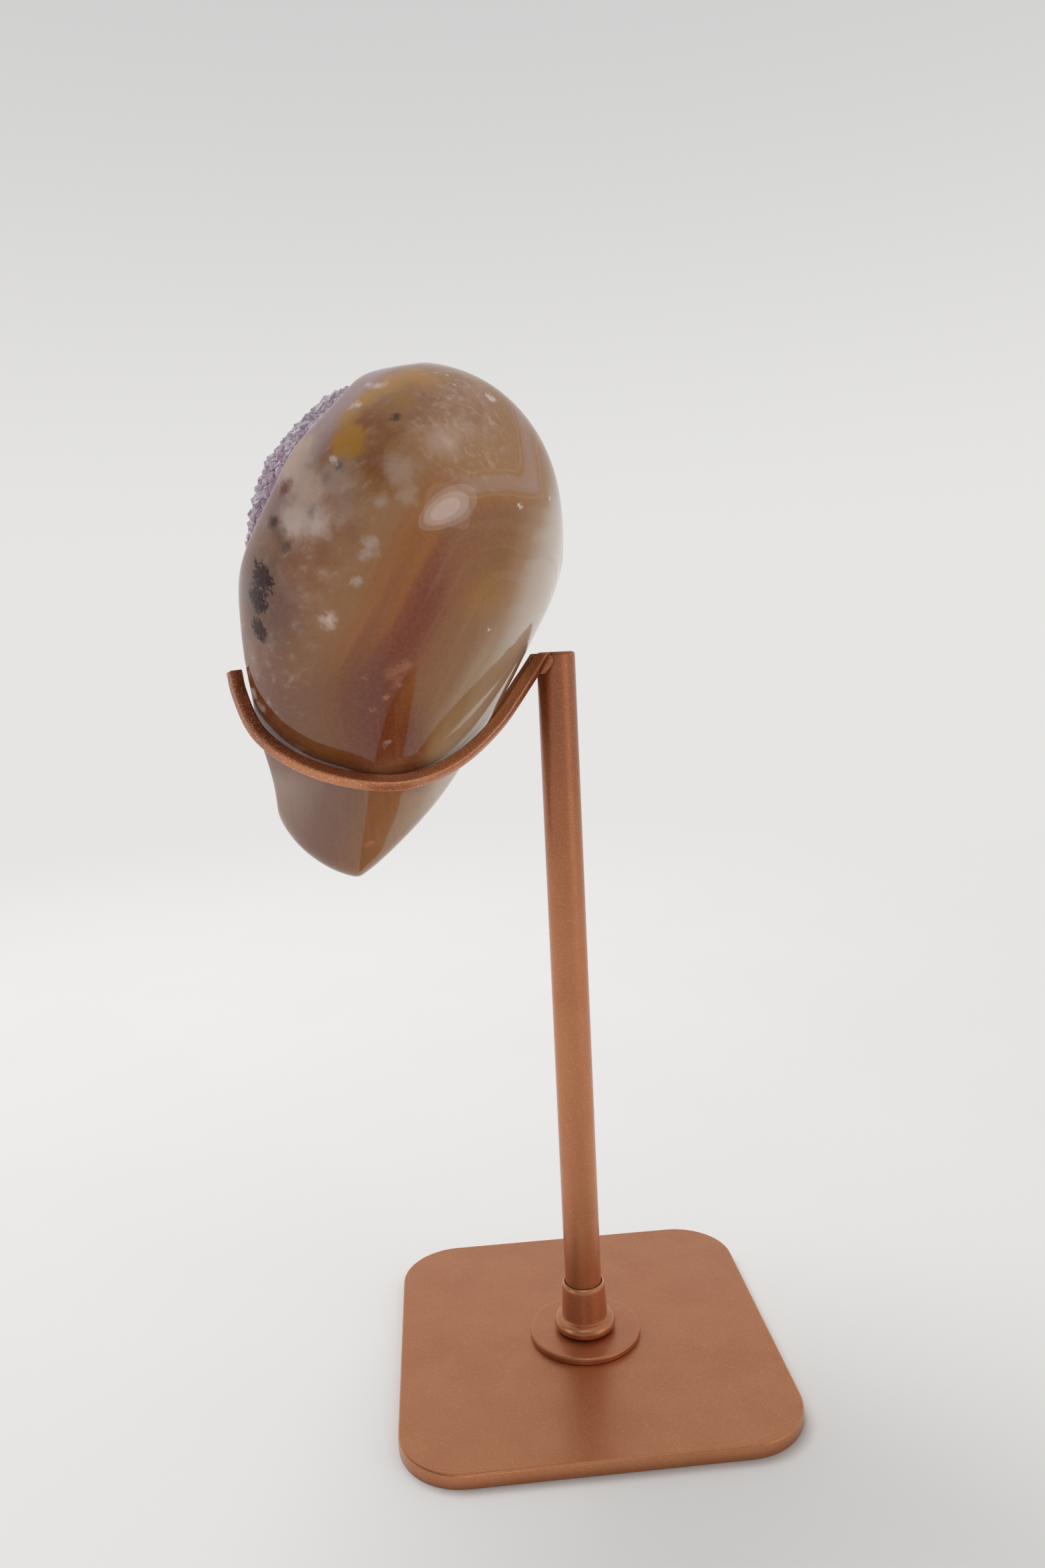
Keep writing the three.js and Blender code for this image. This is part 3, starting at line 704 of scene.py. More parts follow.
class Bench:
    """Modelling moves that the pieces share."""

    @staticmethod
    def clear() -> None:
        """Leaves edit mode and deselects everything."""
        if bpy.context.object and bpy.context.object.mode != "OBJECT":
            bpy.ops.object.mode_set(mode="OBJECT")
        bpy.ops.object.select_all(action="DESELECT")

    @staticmethod
    def take(*pieces: Piece) -> None:
        """Selects these pieces only, and makes the first one active.

        Args:
            pieces: The objects.
        """
        Bench.clear()
        for piece in pieces:
            piece.select_set(True)
        bpy.context.view_layer.objects.active = pieces[0]

    @staticmethod
    def placed(name: str, data: bpy.types.ID) -> Piece:
        """A new object in the scene that holds this data.

        Args:
            name: The object's name.
            data: Its mesh, light or camera.

        Returns:
            The object.
        """
        piece = bpy.data.objects.new(name, data)
        bpy.context.scene.collection.objects.link(piece)
        return piece

    @staticmethod
    def added(name: str) -> Piece:
        """Names the primitive that was just added, and applies its place.

        Args:
            name: The new name.

        Returns:
            The primitive.
        """
        piece = bpy.context.object
        piece.name = name
        piece.data.name = name
        bpy.ops.object.transform_apply(location=True, rotation=True, scale=True)
        return piece

    @staticmethod
    def block(name: str, side: float, tall: float) -> Piece:
        """A square block that stands on the origin, with its side and height in millimetres.

        Args:
            name: The block's name.
            side: Its side.
            tall: Its height.

        Returns:
            The block.
        """
        Bench.clear()
        bpy.ops.mesh.primitive_cube_add(size=1, location=(0, 0, tall * MM / 2))
        bpy.context.object.scale = (side * MM, side * MM, tall * MM)
        return Bench.added(name)

    @staticmethod
    def pick(piece: Piece, mode: str = "VERT", wanted: Callable = lambda element: True) -> None:
        """Opens a piece in edit mode with only the wanted elements selected.

        Args:
            piece: The mesh object.
            mode: VERT, EDGE or FACE.
            wanted: Says of a bmesh element whether it is selected. By default all are.
        """
        Bench.take(piece)
        bpy.ops.object.mode_set(mode="EDIT")
        bpy.ops.mesh.select_mode(type=mode)
        bpy.ops.mesh.select_all(action="DESELECT")
        shape = bmesh.from_edit_mesh(piece.data)
        elements = {"VERT": shape.verts, "EDGE": shape.edges, "FACE": shape.faces}[mode]
        for element in elements:
            if wanted(element):
                element.select_set(True)
        shape.select_flush_mode()
        bmesh.update_edit_mesh(piece.data)

    @staticmethod
    def places(piece: Piece) -> np.ndarray:
        """The places of a piece's vertices, in metres.

        Args:
            piece: The mesh object.

        Returns:
            Rows of x, y, z.
        """
        flat = np.empty(len(piece.data.vertices) * 3)
        piece.data.vertices.foreach_get("co", flat)
        return flat.reshape(-1, 3)

    @staticmethod
    def place_points(piece: Piece, points: Sequence[Sequence[float]]) -> None:
        """Moves a mesh's vertices to points in millimetres.

        Args:
            piece: The mesh object.
            points: A point for each vertex.
        """
        Bench.clear()
        flat = np.array(points, dtype=np.float32) * MM
        piece.data.vertices.foreach_set("co", flat.ravel())
        piece.data.update()

    @staticmethod
    def refine(piece: Piece, levels: int) -> None:
        """Subdivides a piece's surface smoothly.

        Args:
            piece: The mesh object.
            levels: How many times each face is cut.
        """
        Bench.take(piece)
        finer = piece.modifiers.new("finer", "SUBSURF")
        finer.levels = finer.render_levels = levels
        bpy.ops.object.modifier_apply(modifier=finer.name)

    @staticmethod
    def swell(piece: Piece, rounds: int) -> None:
        """Moves a cage outwards so that its subdivided surface passes through where its corners were.

        Args:
            piece: The mesh object.
            rounds: How many times the rest of the way is made up.
        """
        goal = Bench.places(piece)
        cage = goal.copy()
        for _ in range(rounds):
            trial = Bench.placed("trial", piece.data.copy())
            Bench.refine(trial, 2)
            cage += goal - Bench.places(trial)[: len(goal)]
            bpy.data.objects.remove(trial)
            piece.data.vertices.foreach_set("co", cage.ravel())
        piece.data.update()
        Bench.take(piece)

    @staticmethod
    def pull(piece: Piece, at: Triple, by: Triple, reach: float) -> None:
        """Moves the surface round a point, less and less away from it.

        Args:
            piece: The mesh object.
            at: The point, in millimetres.
            by: The move there, in millimetres.
            reach: How far the move reaches, in millimetres.
        """
        middle = Vector(at) * MM
        nearest = min((vertex.co - middle).length for vertex in piece.data.vertices)
        Bench.pick(piece, "VERT", lambda vertex: (vertex.co - middle).length <= nearest)
        bpy.ops.transform.translate(
            value=Vector(by) * MM,
            use_proportional_edit=True,
            proportional_edit_falloff="SMOOTH",
            proportional_size=reach * MM,
        )
        Bench.take(piece)

    @staticmethod
    def level(height: float) -> Callable:
        """Says of an edge whether it lies at a height, in millimetres."""
        return lambda edge: all(abs(vertex.co.z - height * MM) < SAME for vertex in edge.verts)

    @staticmethod
    def upright(least: float) -> Callable:
        """Says of an edge whether its ends differ in height by more than this, in millimetres."""
        return lambda edge: abs(edge.verts[0].co.z - edge.verts[1].co.z) > least * MM

    @staticmethod
    def bevel(width: float, steps: int) -> None:
        """Bevels the selected edges by a width in millimetres."""
        measures = {"offset": width * MM, "segments": steps, "profile": 0.5}
        bpy.ops.mesh.bevel(offset_type="OFFSET", affect="EDGES", **measures)

    @staticmethod
    def tidy(piece: Piece, angle: float = 35.0) -> None:
        """Merges doubles, turns the faces outwards and shades the piece smooth.

        Args:
            piece: The mesh object.
            angle: The sharpest edge, in degrees, that is shaded smooth.
        """
        Bench.pick(piece)
        bpy.ops.mesh.remove_doubles(threshold=SAME / 10)
        bpy.ops.mesh.select_all(action="SELECT")
        bpy.ops.mesh.normals_make_consistent(inside=False)
        Bench.take(piece)
        bpy.ops.object.shade_smooth_by_angle(angle=math.radians(angle))

    @staticmethod
    def copy_of(node: str, name: str) -> Piece:
        """A copy of a CAD node with its loose triangles merged.

        Args:
            node: The CAD node.
            name: The new piece's name.

        Returns:
            The copy, at the origin, with a mesh of its own.
        """
        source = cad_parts[node]
        mesh = source.data.copy()
        mesh.materials.clear()
        mesh.transform(source.matrix_world)
        piece = Bench.placed(name, mesh)
        Bench.pick(piece)
        bpy.ops.mesh.remove_doubles(threshold=SAME)
        Bench.take(piece)
        return piece

    @staticmethod
    def hand_over(piece: Piece, slot: Slot, finish: Finish, *nodes: str) -> None:
        """Dresses a piece, and says what it rides on and stands for.

        Args:
            piece: The finished piece.
            slot: The material slot it would take its finish from; not used.
            finish: Its material.
            nodes: The CAD nodes that it stands for.
        """
        Bench.clear()
        piece.data.materials.clear()
        piece.data.materials.append(finish)
        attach(piece, "root")
        if nodes:
            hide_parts(*nodes)
        piece.data.calc_loop_triangles()
        count = len(piece.data.loop_triangles)
        log.info("%s: %d triangles, stands for %s", piece.name, count, nodes or "nothing")


@dataclass
class Plate:
    """The square foot plate with round corners and a bevelled edge."""

    side: float = 60.0
    thick: float = 2.2
    corner: float = 10.0
    edge: float = 0.35
    margin: float = 0.2

    def make(self) -> Piece:
        """Models the plate from a block, with a margin on its flat faces that keeps their shading flat.

        Returns:
            The plate.
        """
        plate = Bench.block("plate", self.side, self.thick)
        Bench.pick(plate, "EDGE", Bench.upright(1.0))
        Bench.bevel(self.corner, 24)
        Bench.pick(plate, "EDGE", Bench.level(self.thick))
        Bench.bevel(self.edge, 5)
        Bench.pick(plate, "EDGE", Bench.level(0))
        Bench.bevel(self.edge / 2, 3)
        Bench.pick(plate, "FACE", lambda face: abs(face.normal.z) > 0.999 and len(face.verts) > 8)
        bpy.ops.mesh.inset(thickness=self.margin * MM)
        Bench.tidy(plate)
        return plate


@dataclass
class Turned:
    """A piece turned on a lathe about the post's axis. Its profile is points of radius and height."""

    name: str
    profile: list[Point]
    base: float
    axis_y: float = 0.3
    steps: int = 144

    @staticmethod
    def arc(middle: Point, radius: float, start: float, end: float, steps: int) -> list[Point]:
        """Points of a profile's round edge, between two angles in degrees from outwards."""
        turns = [math.radians(start + (end - start) * step / steps) for step in range(steps + 1)]
        return [(middle[0] + radius * math.cos(turn), middle[1] + radius * math.sin(turn)) for turn in turns]

    def make(self) -> Piece:
        """Spins the closed profile once round.

        Returns:
            The piece.
        """
        Bench.clear()
        bpy.ops.mesh.primitive_circle_add(vertices=len(self.profile), radius=MM)
        piece = Bench.added(self.name)
        points = [(radius, self.axis_y, self.base + height) for radius, height in self.profile]
        Bench.place_points(piece, points)
        Bench.pick(piece)
        middle = (0, self.axis_y * MM, 0)
        bpy.ops.mesh.spin(steps=self.steps, angle=math.tau, center=middle, axis=(0, 0, 1))
        Bench.tidy(piece)
        return piece


@dataclass
class Arm:
    """A square bar, bent from the post's top under the heart's flank to a prong in front.

    Its upper face looks one way at the post, one under the stone and one at the prong, and turns from one to
    the next between two shares of its length.
    """

    name: str = "arm_right"
    mirrored: bool = False
    side: float = 1.8
    edge: float = 0.24
    stations: int = 110
    top: float = 113.6
    line: tuple[Triple, ...] = (
        (3.0, -0.9, 115.0), (3.5, -4.6, 109.8), (5.4, -9.7, 103.4), (10.0, -16.4, 98.6), (15.2, -23.7, 96.9),
        (17.2, -31.2, 98.0), (15.1, -38.4, 100.7), (12.5, -43.6, 104.9), (10.6, -46.0, 110.4),
        (10.2, -46.5, 113.4),
    )
    face_at_post: Triple = (0.84, -0.3, 0.45)
    face_under: Triple = (0.63, 0.17, 0.76)
    face_at_prong: Triple = (0.75, 0.42, 0.52)
    post_turn: tuple[float, float] = (0.35, 0.05)
    prong_turn: tuple[float, float] = (0.7, 1.0)
    steps: int = 600

    def span(self, points: np.ndarray, knots: np.ndarray) -> np.ndarray:
        """The curve between the second and the third of four points.

        Args:
            points: The four points.
            knots: Where they lie along the curve.

        Returns:
            Rows of x, y, z, from the second point on, without the third.
        """
        place = np.linspace(knots[1], knots[2], self.steps, endpoint=False)[:, None]

        def between(first: np.ndarray, second: np.ndarray, start: int, end: int) -> np.ndarray:
            """The first at the start knot, the second at the end knot."""
            share = (place - knots[start]) / (knots[end] - knots[start])
            return (1 - share) * first + share * second

        sides = [between(points[i], points[i + 1], i, i + 1) for i in range(3)]
        return between(between(sides[0], sides[1], 0, 2), between(sides[1], sides[2], 1, 3), 1, 2)

    def fine_line(self) -> np.ndarray:
        """The centripetal curve through the line's points.

        Returns:
            Rows of x, y, z in millimetres, at equal steps of length.
        """
        given = np.array(self.line)
        padded = np.vstack([2 * given[0] - given[1], given, 2 * given[-1] - given[-2]])
        knots = np.append(0.0, np.cumsum(gaps(padded) ** 0.5))
        spans = [self.span(padded[i:i + 4], knots[i:i + 4]) for i in range(len(given) - 1)]
        dense = np.vstack([*spans, given[-1:]])
        length = np.append(0.0, np.cumsum(gaps(dense)))
        return rows_at(np.linspace(0, length[-1], self.steps + 1), length, dense)

    def upper_face(self, share: np.ndarray) -> np.ndarray:
        """Which way the bar's upper face looks, along its length.

        Args:
            share: Shares of the length, from 0 at the post.

        Returns:
            A direction for each.
        """
        near_post = soft_step(share, *self.post_turn)
        near_prong = soft_step(share, *self.prong_turn)
        face = (1 - near_post) * self.face_under + near_post * self.face_at_post
        return (1 - near_prong) * face + near_prong * self.face_at_prong

    def straight(self, length: float) -> Piece:
        """The bar before it is bent, along +Z, with round edges and cut across at its stations.

        Args:
            length: Its length in millimetres.

        Returns:
            The bar.
        """
        bar = Bench.block(self.name, self.side, length)
        Bench.pick(bar, "EDGE", Bench.upright(1.0))
        bpy.ops.mesh.subdivide(number_cuts=self.stations)
        Bench.pick(bar, "EDGE", Bench.upright(0.01))
        Bench.bevel(self.edge, 3)
        Bench.pick(bar, "EDGE", Bench.level(length))
        Bench.bevel(self.edge * 0.8, 3)
        Bench.take(bar)
        return bar

    def make(self) -> Piece:
        """Models the bar straight, bends it along its line and cuts it off level at the post's top.

        Returns:
            The bar.
        """
        line = self.fine_line()
        length = float(gaps(line).sum())
        bar = self.straight(length)
        straight = Bench.places(bar) / MM
        share = np.clip(straight[:, 2] / length, 0, 1)
        every = np.linspace(0, 1, len(line))
        tangents = np.gradient(line, axis=0)
        tangents /= np.linalg.norm(tangents, axis=1)[:, None]
        face = self.upper_face(every)
        up = face - (face * tangents).sum(axis=1)[:, None] * tangents
        up /= np.linalg.norm(up, axis=1)[:, None]
        at, across, upwards = (rows_at(share, every, rows) for rows in (line, np.cross(tangents, up), up))
        bent = at + straight[:, 0:1] * across + straight[:, 1:2] * upwards
        if self.mirrored:
            bent[:, 0] *= -1
        Bench.place_points(bar, bent)
        Bench.pick(bar)
        top = (0, 0, self.top * MM)
        bpy.ops.mesh.bisect(plane_co=top, plane_no=(0, 0, 1), use_fill=True, clear_outer=True)
        Bench.tidy(bar)
        return bar


@dataclass
class Weld:
    """Weld metal in the corners between a bar's end and the post: small beads, run into one another."""

    name: str = "weld_right"
    mirrored: bool = False
    beads: tuple[tuple[Triple, float], ...] = (
        ((2.7, -1.5, 112.9), 0.95), ((3.0, -1.15, 112.6), 0.88), ((3.05, -1.4, 112.1), 0.84),
        ((3.12, -1.7, 111.6), 0.75), ((3.18, -2.0, 111.1), 0.6), ((1.8, -2.8, 112.7), 0.8),
        ((1.95, -2.95, 112.1), 0.75), ((2.1, -3.05, 111.5), 0.68), ((2.3, -3.15, 110.9), 0.58),
    )
    grid: float = 0.13
    melting: int = 4

    def make(self) -> Piece:
        """Joins the beads and melts them together.

        Returns:
            The weld.
        """
        Bench.clear()
        made = []
        for (x, y, z), radius in self.beads:
            at = Vector((-x if self.mirrored else x, y, z)) * MM
            bpy.ops.mesh.primitive_ico_sphere_add(subdivisions=3, radius=radius * MM, location=at)
            made.append(Bench.added(self.name))
        Bench.take(*made)
        bpy.ops.object.join()
        weld = made[0]
        melted = weld.modifiers.new("melted", "REMESH")
        melted.mode = "VOXEL"
        melted.voxel_size = self.grid * MM
        bpy.ops.object.modifier_apply(modifier=melted.name)
        Bench.pick(weld)
        bpy.ops.mesh.vertices_smooth(factor=0.5, repeat=self.melting)
        Bench.tidy(weld, 180.0)
        return weld


@dataclass
class Stand:
    """Plate, disc, collar, post, the two arms and their welds."""

    plate: Plate = field(default_factory=Plate)
    post_radius: float = 2.95
    post_top: float = 113.8
    post_round: float = 0.5
    fit: float = 0.15
    disc_radius: float = 9.0
    disc_thick: float = 1.1
    disc_round: float = 0.4
    disc_foot_round: float = 0.2
    lip_radius: float = 5.0
    lip_height: float = 2.2
    sleeve_foot: float = 4.0
    sleeve_neck: float = 3.45
    sleeve_height: float = 8.0
    shoulder: float = 0.4

    def disc(self) -> Piece:
        """The thin disc on the plate.

        Returns:
            The disc.
        """
        bore = self.post_radius + self.fit
        low = self.disc_foot_round
        round_at = (self.disc_radius - self.disc_round, self.disc_thick - self.disc_round)
        profile = [(bore, 0.0)]
        profile += Turned.arc((self.disc_radius - low, low), low, -90, 0, 4)
        profile += Turned.arc(round_at, self.disc_round, 0, 90, 8)
        profile += [(self.disc_radius - 0.9, self.disc_thick), (bore, self.disc_thick)]
        return Turned("disc", profile, self.plate.thick).make()

    def collar(self) -> Piece:
        """The collar: a round lip and a sleeve that narrows to its shoulder.

        Returns:
            The collar.
        """
        bore = self.post_radius + self.fit
        half = self.lip_height / 2
        foot, low = self.sleeve_foot - 0.25, self.lip_height + 0.12
        neck, high = self.sleeve_neck, self.sleeve_height - self.shoulder
        profile = [(bore, 0.0)]
        profile += Turned.arc((self.lip_radius - half, half), half, -90, 82, 16)
        profile += [(foot + 0.06, low - 0.05), (foot, low), (foot - 0.02, low + 0.2)]
        profile += [(neck + 0.03, high - 0.5), (neck, high), (neck - 0.06, high + 0.15)]
        profile += [(bore + 0.06, self.sleeve_height - 0.05), (bore, self.sleeve_height)]
        return Turned("collar", profile, self.plate.thick + self.disc_thick).make()

    def post(self) -> Piece:
        """The round post with a rounded top edge.

        Returns:
            The post.
        """
        length = self.post_top - self.plate.thick
        radius, turn = self.post_radius, self.post_round
        profile = [(0.0, 0.0), (radius, 0.0), (radius, length / 2), (radius, length - 2 * turn)]
        profile += Turned.arc((radius - turn, length - turn), turn, 0, 90, 8)
        profile += [(radius - 2 * turn, length), (0.0, length)]
        return Turned("post_rod", profile, self.plate.thick).make()

    def make(self, paint: Finish) -> None:
        """Builds and dresses all the metal pieces.

        Args:
            paint: Their material.
        """
        Bench.hand_over(self.plate.make(), Slot.COPPER, paint, "base_plate")
        Bench.hand_over(self.disc(), Slot.COPPER, paint, "foot_disc")
        Bench.hand_over(self.collar(), Slot.COPPER, paint, "ferrule")
        Bench.hand_over(self.post(), Slot.COPPER, paint, "post")
        Bench.hand_over(Arm().make(), Slot.COPPER, paint, "cradle_arm_right")
        Bench.hand_over(Arm("arm_left", True).make(), Slot.COPPER, paint, "cradle_arm_left")
        Bench.hand_over(Weld().make(), Slot.COPPER, paint)
        Bench.hand_over(Weld("weld_left", True).make(), Slot.COPPER, paint)


@dataclass
class Stone:
    """The polished heart and the crystals on its front.

    The crystals' sizes and the knolls of their bed are in millimetres. A crystal's stem, tip, stagger and
    uneven reaches are shares of its size, and the facings are cosines.
    """

    heart_middle: Triple = (0.0, -24.0, 120.0)
    front_lean: float = 12.0
    seed: int = 41
    tries: int = 34000
    least: float = 0.3
    most: float = 0.95
    rarity: float = 2.2
    closeness: float = 0.66
    tilt: float = 20.0
    tip: float = 0.5
    stem: float = 1.6
    stagger: float = 0.25
    uneven: tuple[tuple[float, float], ...] = ((-0.3, 0.3), (-0.3, 0.3), (-0.1, 0.15))
    knoll: float = 4.0
    knoll_height: float = 0.7
    bed_raised: float = 0.3
    bed_facing: float = 0.35
    grown_facing: float = 0.3
    crest_from: Triple = (8.0, -33.0, 122.0)
    crest_softening: int = 8
    bed_softening: int = 8
    pulls: tuple[tuple[Triple, Triple, float], ...] = (
        ((21.0, -8.5, 148.0), (0.2, 1.0, 0.8), 15.0),
        ((24.5, -25.5, 149.0), (0.0, -0.5, 0.7), 8.0),
        ((23.3, -17.8, 151.8), (0.0, 0.0, -0.8), 8.0),
    )

    def on_crest(self, vertex: bmesh.types.BMVert) -> bool:
        """Whether a vertex lies on the polished crest of the lobes, away from the druse."""
        side, front, low = (limit * MM for limit in self.crest_from)
        return abs(vertex.co.x) > side and vertex.co.y > front and vertex.co.z > low

    def heart(self) -> Piece:
        """The polished stone: a finer copy of the CAD solid that still passes through its corners.

        Returns:
            The stone.
        """
        stone = Bench.copy_of("agate_heart", "heart_stone")
        Bench.pick(stone, "FACE")
        flat = math.radians(60)
        bpy.ops.mesh.tris_convert_to_quads(face_threshold=flat, shape_threshold=flat)
        Bench.take(stone)
        Bench.swell(stone, 3)
        for at, by, reach in self.pulls:
            Bench.pull(stone, at, by, reach)
        Bench.refine(stone, 1)
        Bench.pick(stone, "VERT", self.on_crest)
        bpy.ops.mesh.vertices_smooth(factor=0.5, repeat=self.crest_softening)
        Bench.refine(stone, 1)
        bpy.ops.object.shade_smooth_by_angle(angle=math.radians(50))
        return stone

    def facing(self, normal: Vector, point: Vector) -> float:
        """How far a surface looks outwards and to the front.

        Args:
            normal: Which way the surface looks.
            point: The point, in metres.

        Returns:
            The cosine between that way and outwards, 1 where they are the same.
        """
        away = point - Vector(self.heart_middle) * MM
        away.y -= self.front_lean * MM
        return normal.dot(away.normalized())

    def bed(self) -> Piece:
        """The crust under the crystals: a smoothed copy of the CAD crust, with low knolls.

        Returns:
            The crust.
        """
        crust = Bench.copy_of("druzy_crust", "druse")
        Bench.pick(crust, "VERT", lambda vertex: self.facing(vertex.normal, vertex.co) > self.bed_facing)
        bpy.ops.mesh.vertices_smooth(factor=0.6, repeat=self.bed_softening)
        bpy.ops.transform.shrink_fatten(value=self.bed_raised * MM)
        Bench.take(crust)
        for vertex in crust.data.vertices:
            if self.facing(vertex.normal, vertex.co) > self.bed_facing:
                rise = noise.noise(vertex.co / (self.knoll * MM))
                vertex.co += vertex.normal * rise * self.knoll_height * MM
        return crust

    def crystal(self) -> Piece:
        """One quartz point: a six-sided prism of radius 1 with a six-sided tip, its shoulder at height 0.

        Returns:
            The point.
        """
        Bench.clear()
        middle = (0, 0, -self.stem / 2)
        bpy.ops.mesh.primitive_cylinder_add(vertices=6, radius=1, depth=self.stem, location=middle)
        point = Bench.added("crystal")
        Bench.pick(point, "FACE", lambda face: face.normal.z > 0.9)
        bpy.ops.mesh.extrude_region_move(TRANSFORM_OT_translate={"value": (0, 0, self.tip)})
        bpy.ops.mesh.merge(type="CENTER")
        Bench.pick(point, "FACE", lambda face: face.normal.z < -0.9)
        bpy.ops.mesh.delete(type="FACE")
        Bench.take(point)
        return point

    def grows(self, face: bpy.types.MeshLoopTriangle) -> bool:
        """Whether crystals grow on a triangle of the bed."""
        return self.facing(face.normal, face.center) > self.grown_facing

    def spots(self, crust: Piece) -> list[tuple[Vector, Vector, float]]:
        """Where the crystals grow. The larger ones take their places first.

        Args:
            crust: The bed.

        Returns:
            Place, direction and size of each crystal, in metres.
        """
        draw = np.random.default_rng(self.seed)
        mesh = crust.data
        mesh.calc_loop_triangles()
        faces = [face for face in mesh.loop_triangles if self.grows(face)]
        areas = np.array([face.area for face in faces])
        chosen = draw.choice(len(faces), size=self.tries, p=areas / areas.sum())
        sizes = self.least + (self.most - self.least) * draw.random(self.tries) ** self.rarity
        sizes = np.sort(sizes)[::-1] * MM
        ends = draw.random((self.tries, 2))
        kept: list[tuple[Vector, Vector, float]] = []
        places = np.empty((0, 3))
        radii = np.empty(0)
        for face_number, size, (a, b) in zip(chosen, sizes, ends):
            face = faces[face_number]
            corners = [mesh.vertices[i].co for i in face.vertices]
            if a + b > 1:
                a, b = 1 - a, 1 - b
            place = corners[0] + (corners[1] - corners[0]) * float(a) + (corners[2] - corners[0]) * float(b)
            apart = np.linalg.norm(places - np.array(place), axis=1)
            if (apart < self.closeness * (radii + size)).any():
                continue
            places = np.vstack([places, np.array(place)])
            radii = np.append(radii, size)
            kept.append((place, face.normal.copy(), float(size)))
        return kept

    def druse(self) -> Piece:
        """Grows the crystals on the bed, as one mesh.

        Returns:
            The crust with its crystals.
        """
        crust = self.bed()
        point = self.crystal()
        draw = random.Random(self.seed)
        shape = [vertex.co.copy() for vertex in point.data.vertices]
        tip = max(range(len(shape)), key=lambda number: shape[number].z)
        faces = [tuple(face.vertices) for face in point.data.polygons]
        vertices: list[Vector] = []
        triangles: list[tuple[int, ...]] = []
        for place, normal, size in self.spots(crust):
            lean = Matrix.Rotation(math.radians(self.tilt) * draw.random(), 3, "X")
            spin = Matrix.Rotation(draw.uniform(0, math.tau), 3, "Z")
            own = Matrix.Rotation(draw.uniform(0, math.tau), 3, "Z")
            turn = normal.to_track_quat("Z", "Y").to_matrix() @ spin @ lean @ own
            lift = Vector((0, 0, size * draw.uniform(0.0, self.stagger)))
            uneven = Vector([draw.uniform(low, high) for low, high in self.uneven])
            first = len(vertices)
            for number, corner in enumerate(shape):
                moved = corner + uneven if number == tip else corner
                vertices.append(place + turn @ (moved * size + lift))
            triangles += [tuple(first + number for number in face) for face in faces]
        grown = bpy.data.meshes.new("grown")
        grown.from_pydata([tuple(vertex) for vertex in vertices], [], triangles)
        Bench.take(crust, Bench.placed("grown", grown))
        bpy.ops.object.join()
        bpy.ops.object.shade_flat()
        bpy.data.objects.remove(point)
        return crust

    def make(self, agate: Finish, quartz: Finish) -> None:
        """Builds and dresses the stone."""
        Bench.hand_over(self.heart(), Slot.AGATE, agate, "agate_heart")
        Bench.hand_over(self.druse(), Slot.QUARTZ, quartz, "druzy_crust")


@dataclass(frozen=True)
class Lamp:
    """One soft oval light, with its place, aim and size in metres and its power in watts.

    It is turned about its own axis by degrees. Polished surfaces show it where it is mirrored, and it lights
    the objects that only names, or all.
    """

    name: str
    at: Sequence[float]
    aim: Sequence[float]
    size: Point
    power: float
    turn: float = 0.0
    mirrored: bool = True
    only: tuple[str, ...] = ()
    tint: Triple = (1.0, 1.0, 1.0)

    def hang(self) -> None:
        """Puts the lamp into the scene."""
        lamp = bpy.data.lights.new(self.name, "AREA")
        lamp.shape = "ELLIPSE"
        lamp.size, lamp.size_y = self.size
        lamp.energy = self.power
        lamp.color = self.tint
        holder = Bench.placed(self.name, lamp)
        holder.location = self.at
        facing = (Vector(self.aim) - Vector(self.at)).to_track_quat("-Z", "Y").to_matrix()
        holder.rotation_euler = (facing @ Matrix.Rotation(math.radians(self.turn), 3, "Z")).to_euler()
        holder.visible_glossy = self.mirrored
        if self.only:
            lit = bpy.data.collections.new(f"lit by {self.name}")
            for piece in self.only:
                lit.objects.link(bpy.data.objects[piece])
            holder.light_linking.receiver_collection = lit


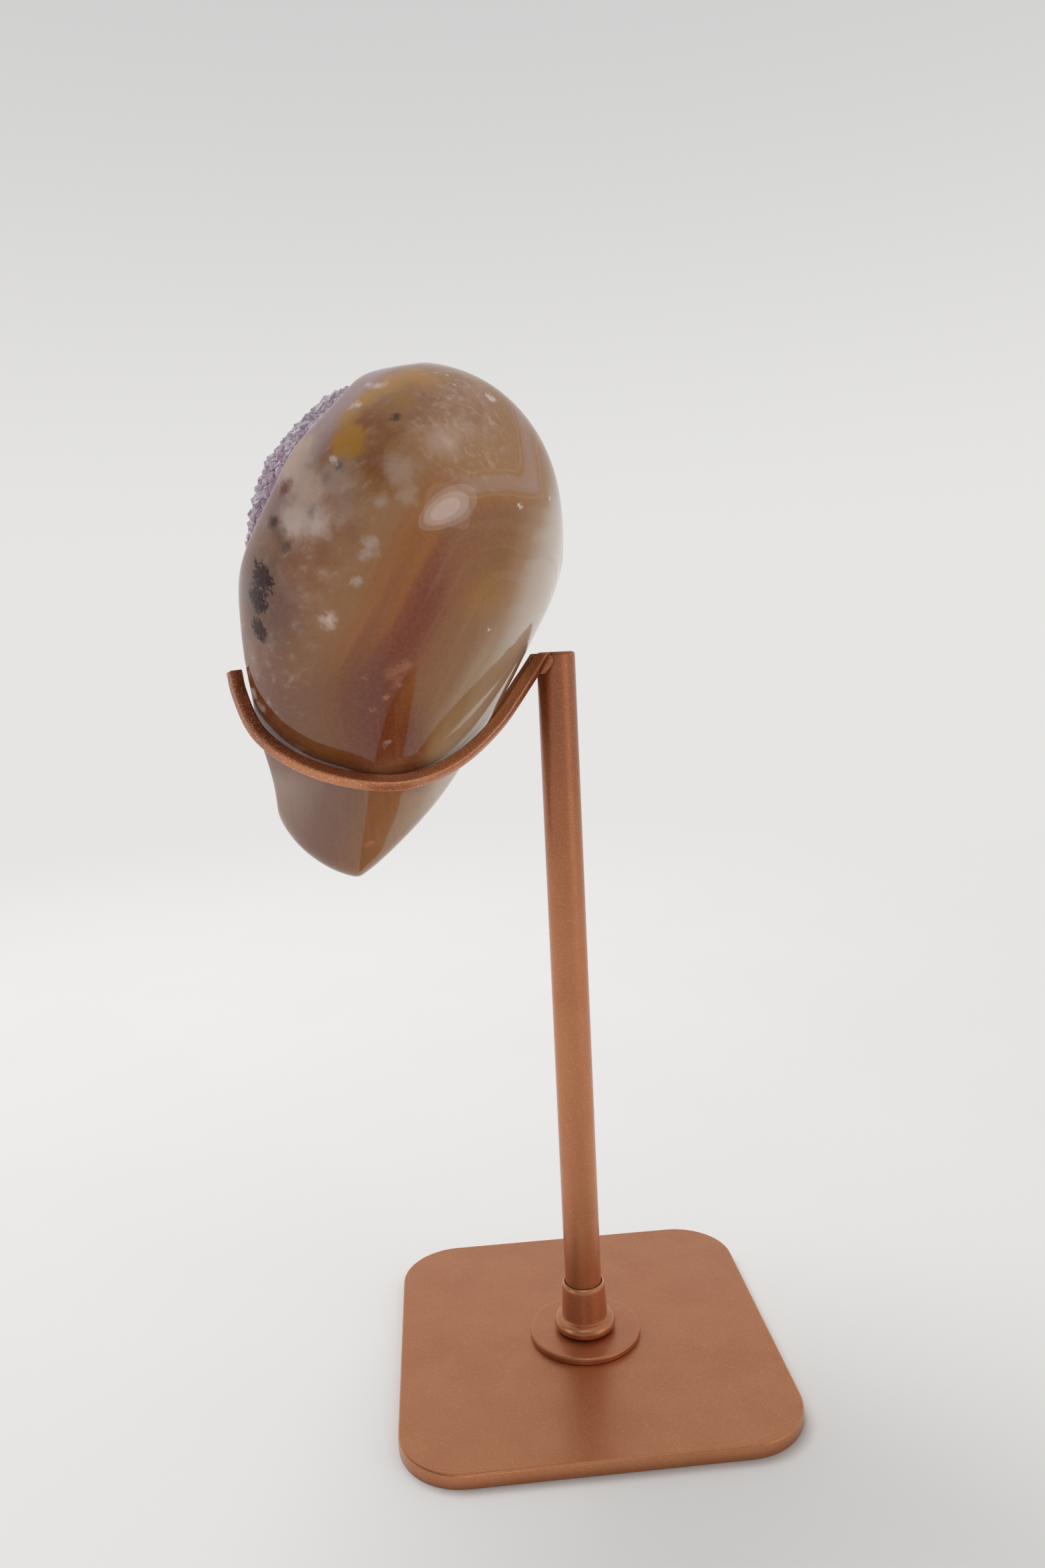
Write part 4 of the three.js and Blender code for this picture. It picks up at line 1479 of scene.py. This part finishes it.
@dataclass
class Studio:
    """Floor, lights and the camera of the photograph. The lights' places are in metres.

    The window that the stone mirrors is three ovals one behind the other, each with its share of the
    window's size, its power and its distance from the stone.
    """

    camera_at: Triple = (173.9, -18.9, 115.4)
    right: Triple = (0.0813, 0.9955, -0.0480)
    down: Triple = (0.1192, -0.0575, -0.9912)
    forward: Triple = (-0.9895, 0.0749, -0.1234)
    focal_pixels: float = 1703.09
    picture_height: float = 2352.0
    sensor: float = 36.0
    nearest: float = 0.005
    floor_side: float = 6.0
    wall: Colour = srgb(230, 229, 227)
    ceiling: Colour = srgb(204, 204, 204)
    far_wall: Colour = srgb(108, 108, 110)
    stone_at: Triple = (0.0355, -0.0155, 0.132)
    window_way: Triple = (0.5926, 0.8009, -0.087)
    window_turn: float = -58.0
    window_size: Point = (0.1, 0.25)
    window_steps: tuple[Triple, ...] = ((1.0, 0.07, 0.26), (0.72, 0.042, 0.255), (0.45, 0.018, 0.25))
    daylight: Triple = (0.87, 0.96, 1.0)
    fill_away: float = 0.5
    stone: tuple[str, ...] = ("heart_stone", "druse")
    metal: tuple[str, ...] = (
        "plate", "disc", "collar", "post_rod", "arm_right", "arm_left", "weld_right", "weld_left",
    )

    def floor(self, paper: Finish) -> None:
        """A wide flat sheet under the part.

        Args:
            paper: Its material.
        """
        Bench.clear()
        bpy.ops.mesh.primitive_plane_add(size=self.floor_side, location=(0, 0, 0))
        sheet = Bench.added("floor")
        sheet.data.materials.append(paper)

    def camera(self) -> None:
        """The camera, where the photograph was taken from."""
        lens = bpy.data.cameras.new("camera")
        lens.sensor_fit = "VERTICAL"
        lens.sensor_height = self.sensor
        lens.sensor_width = self.sensor
        lens.lens = self.focal_pixels / self.picture_height * self.sensor
        lens.clip_start = self.nearest
        holder = Bench.placed("camera", lens)
        axes = Matrix((self.right, -Vector(self.down), -Vector(self.forward))).transposed()
        holder.matrix_world = Matrix.Translation(Vector(self.camera_at) * MM) @ axes.to_4x4()
        bpy.context.scene.camera = holder

    def room(self) -> None:
        """The pale room round the table, darker towards its ceiling and the wall across."""
        world = bpy.data.worlds.new("room")
        world.use_nodes = True
        bpy.context.scene.world = world
        nodes = Nodes(world.node_tree)
        way = Expr(nodes, nodes.tree.nodes.new("ShaderNodeTexCoord").outputs["Generated"])
        x, y, height = nodes.parts(way)
        colour = nodes.mix(height.rise(0.05, 0.6), self.wall, self.ceiling)
        across = (x * 0.75 - y * 0.66).rise(0.0, 0.7) * height.rise(-0.04, 0.24)
        background = nodes.tree.nodes["Background"]
        nodes.feed(background.inputs["Color"], nodes.mix(across, colour, self.far_wall))
        background.inputs["Strength"].default_value = 1.0

    def lamps(self) -> list[Lamp]:
        """The window on the stone, a weak fill, lights for the metal's edges and a large softbox.

        Returns:
            The lamps.
        """
        stone = Vector(self.stone_at)
        way = Vector(self.window_way)
        window = [
            Lamp(f"window_{share}", stone + way * away, stone, tuple(Vector(self.window_size) * share), power,
                 self.window_turn, only=self.stone, tint=self.daylight)
            for share, power, away in self.window_steps
        ]
        return window + [
            Lamp("fill", stone + way * self.fill_away, stone, (0.3, 0.3), 0.12),
            Lamp("edges", (0.55, -0.1, 0.8), (0.0, 0.0, 0.02), (0.6, 0.6), 0.7, only=self.metal),
            Lamp("collar_side", (0.2, -0.5, 0.2), (0.0, 0.0, 0.007), (0.3, 0.3), 0.3, only=("collar",)),
            Lamp("plate_side", (0.7, -0.1, 0.1), (0.0, 0.0, 0.0), (0.3, 0.2), 0.3, only=("plate",)),
            Lamp("softbox", (-0.5, -0.4, 1.1), (-0.2, -0.1, 0.0), (1.0, 1.0), 10.8, mirrored=False),
        ]

    def make(self, paper: Finish) -> None:
        """Sets up the whole studio.

        Args:
            paper: The floor's material.
        """
        self.floor(paper)
        self.room()
        for lamp in self.lamps():
            lamp.hang()
        self.camera()


def main() -> None:
    """Builds the part and the studio round it."""
    logging.basicConfig(level=logging.INFO, format="%(name)s: %(message)s")
    Stand().make(CopperPaint().make())
    Stone().make(PolishedAgate().make(), DruzyQuartz().make())
    Studio().make(PaleFloor().make())
    bpy.context.scene.view_settings.view_transform = "Standard"


if __name__ == "__main__":
    main()
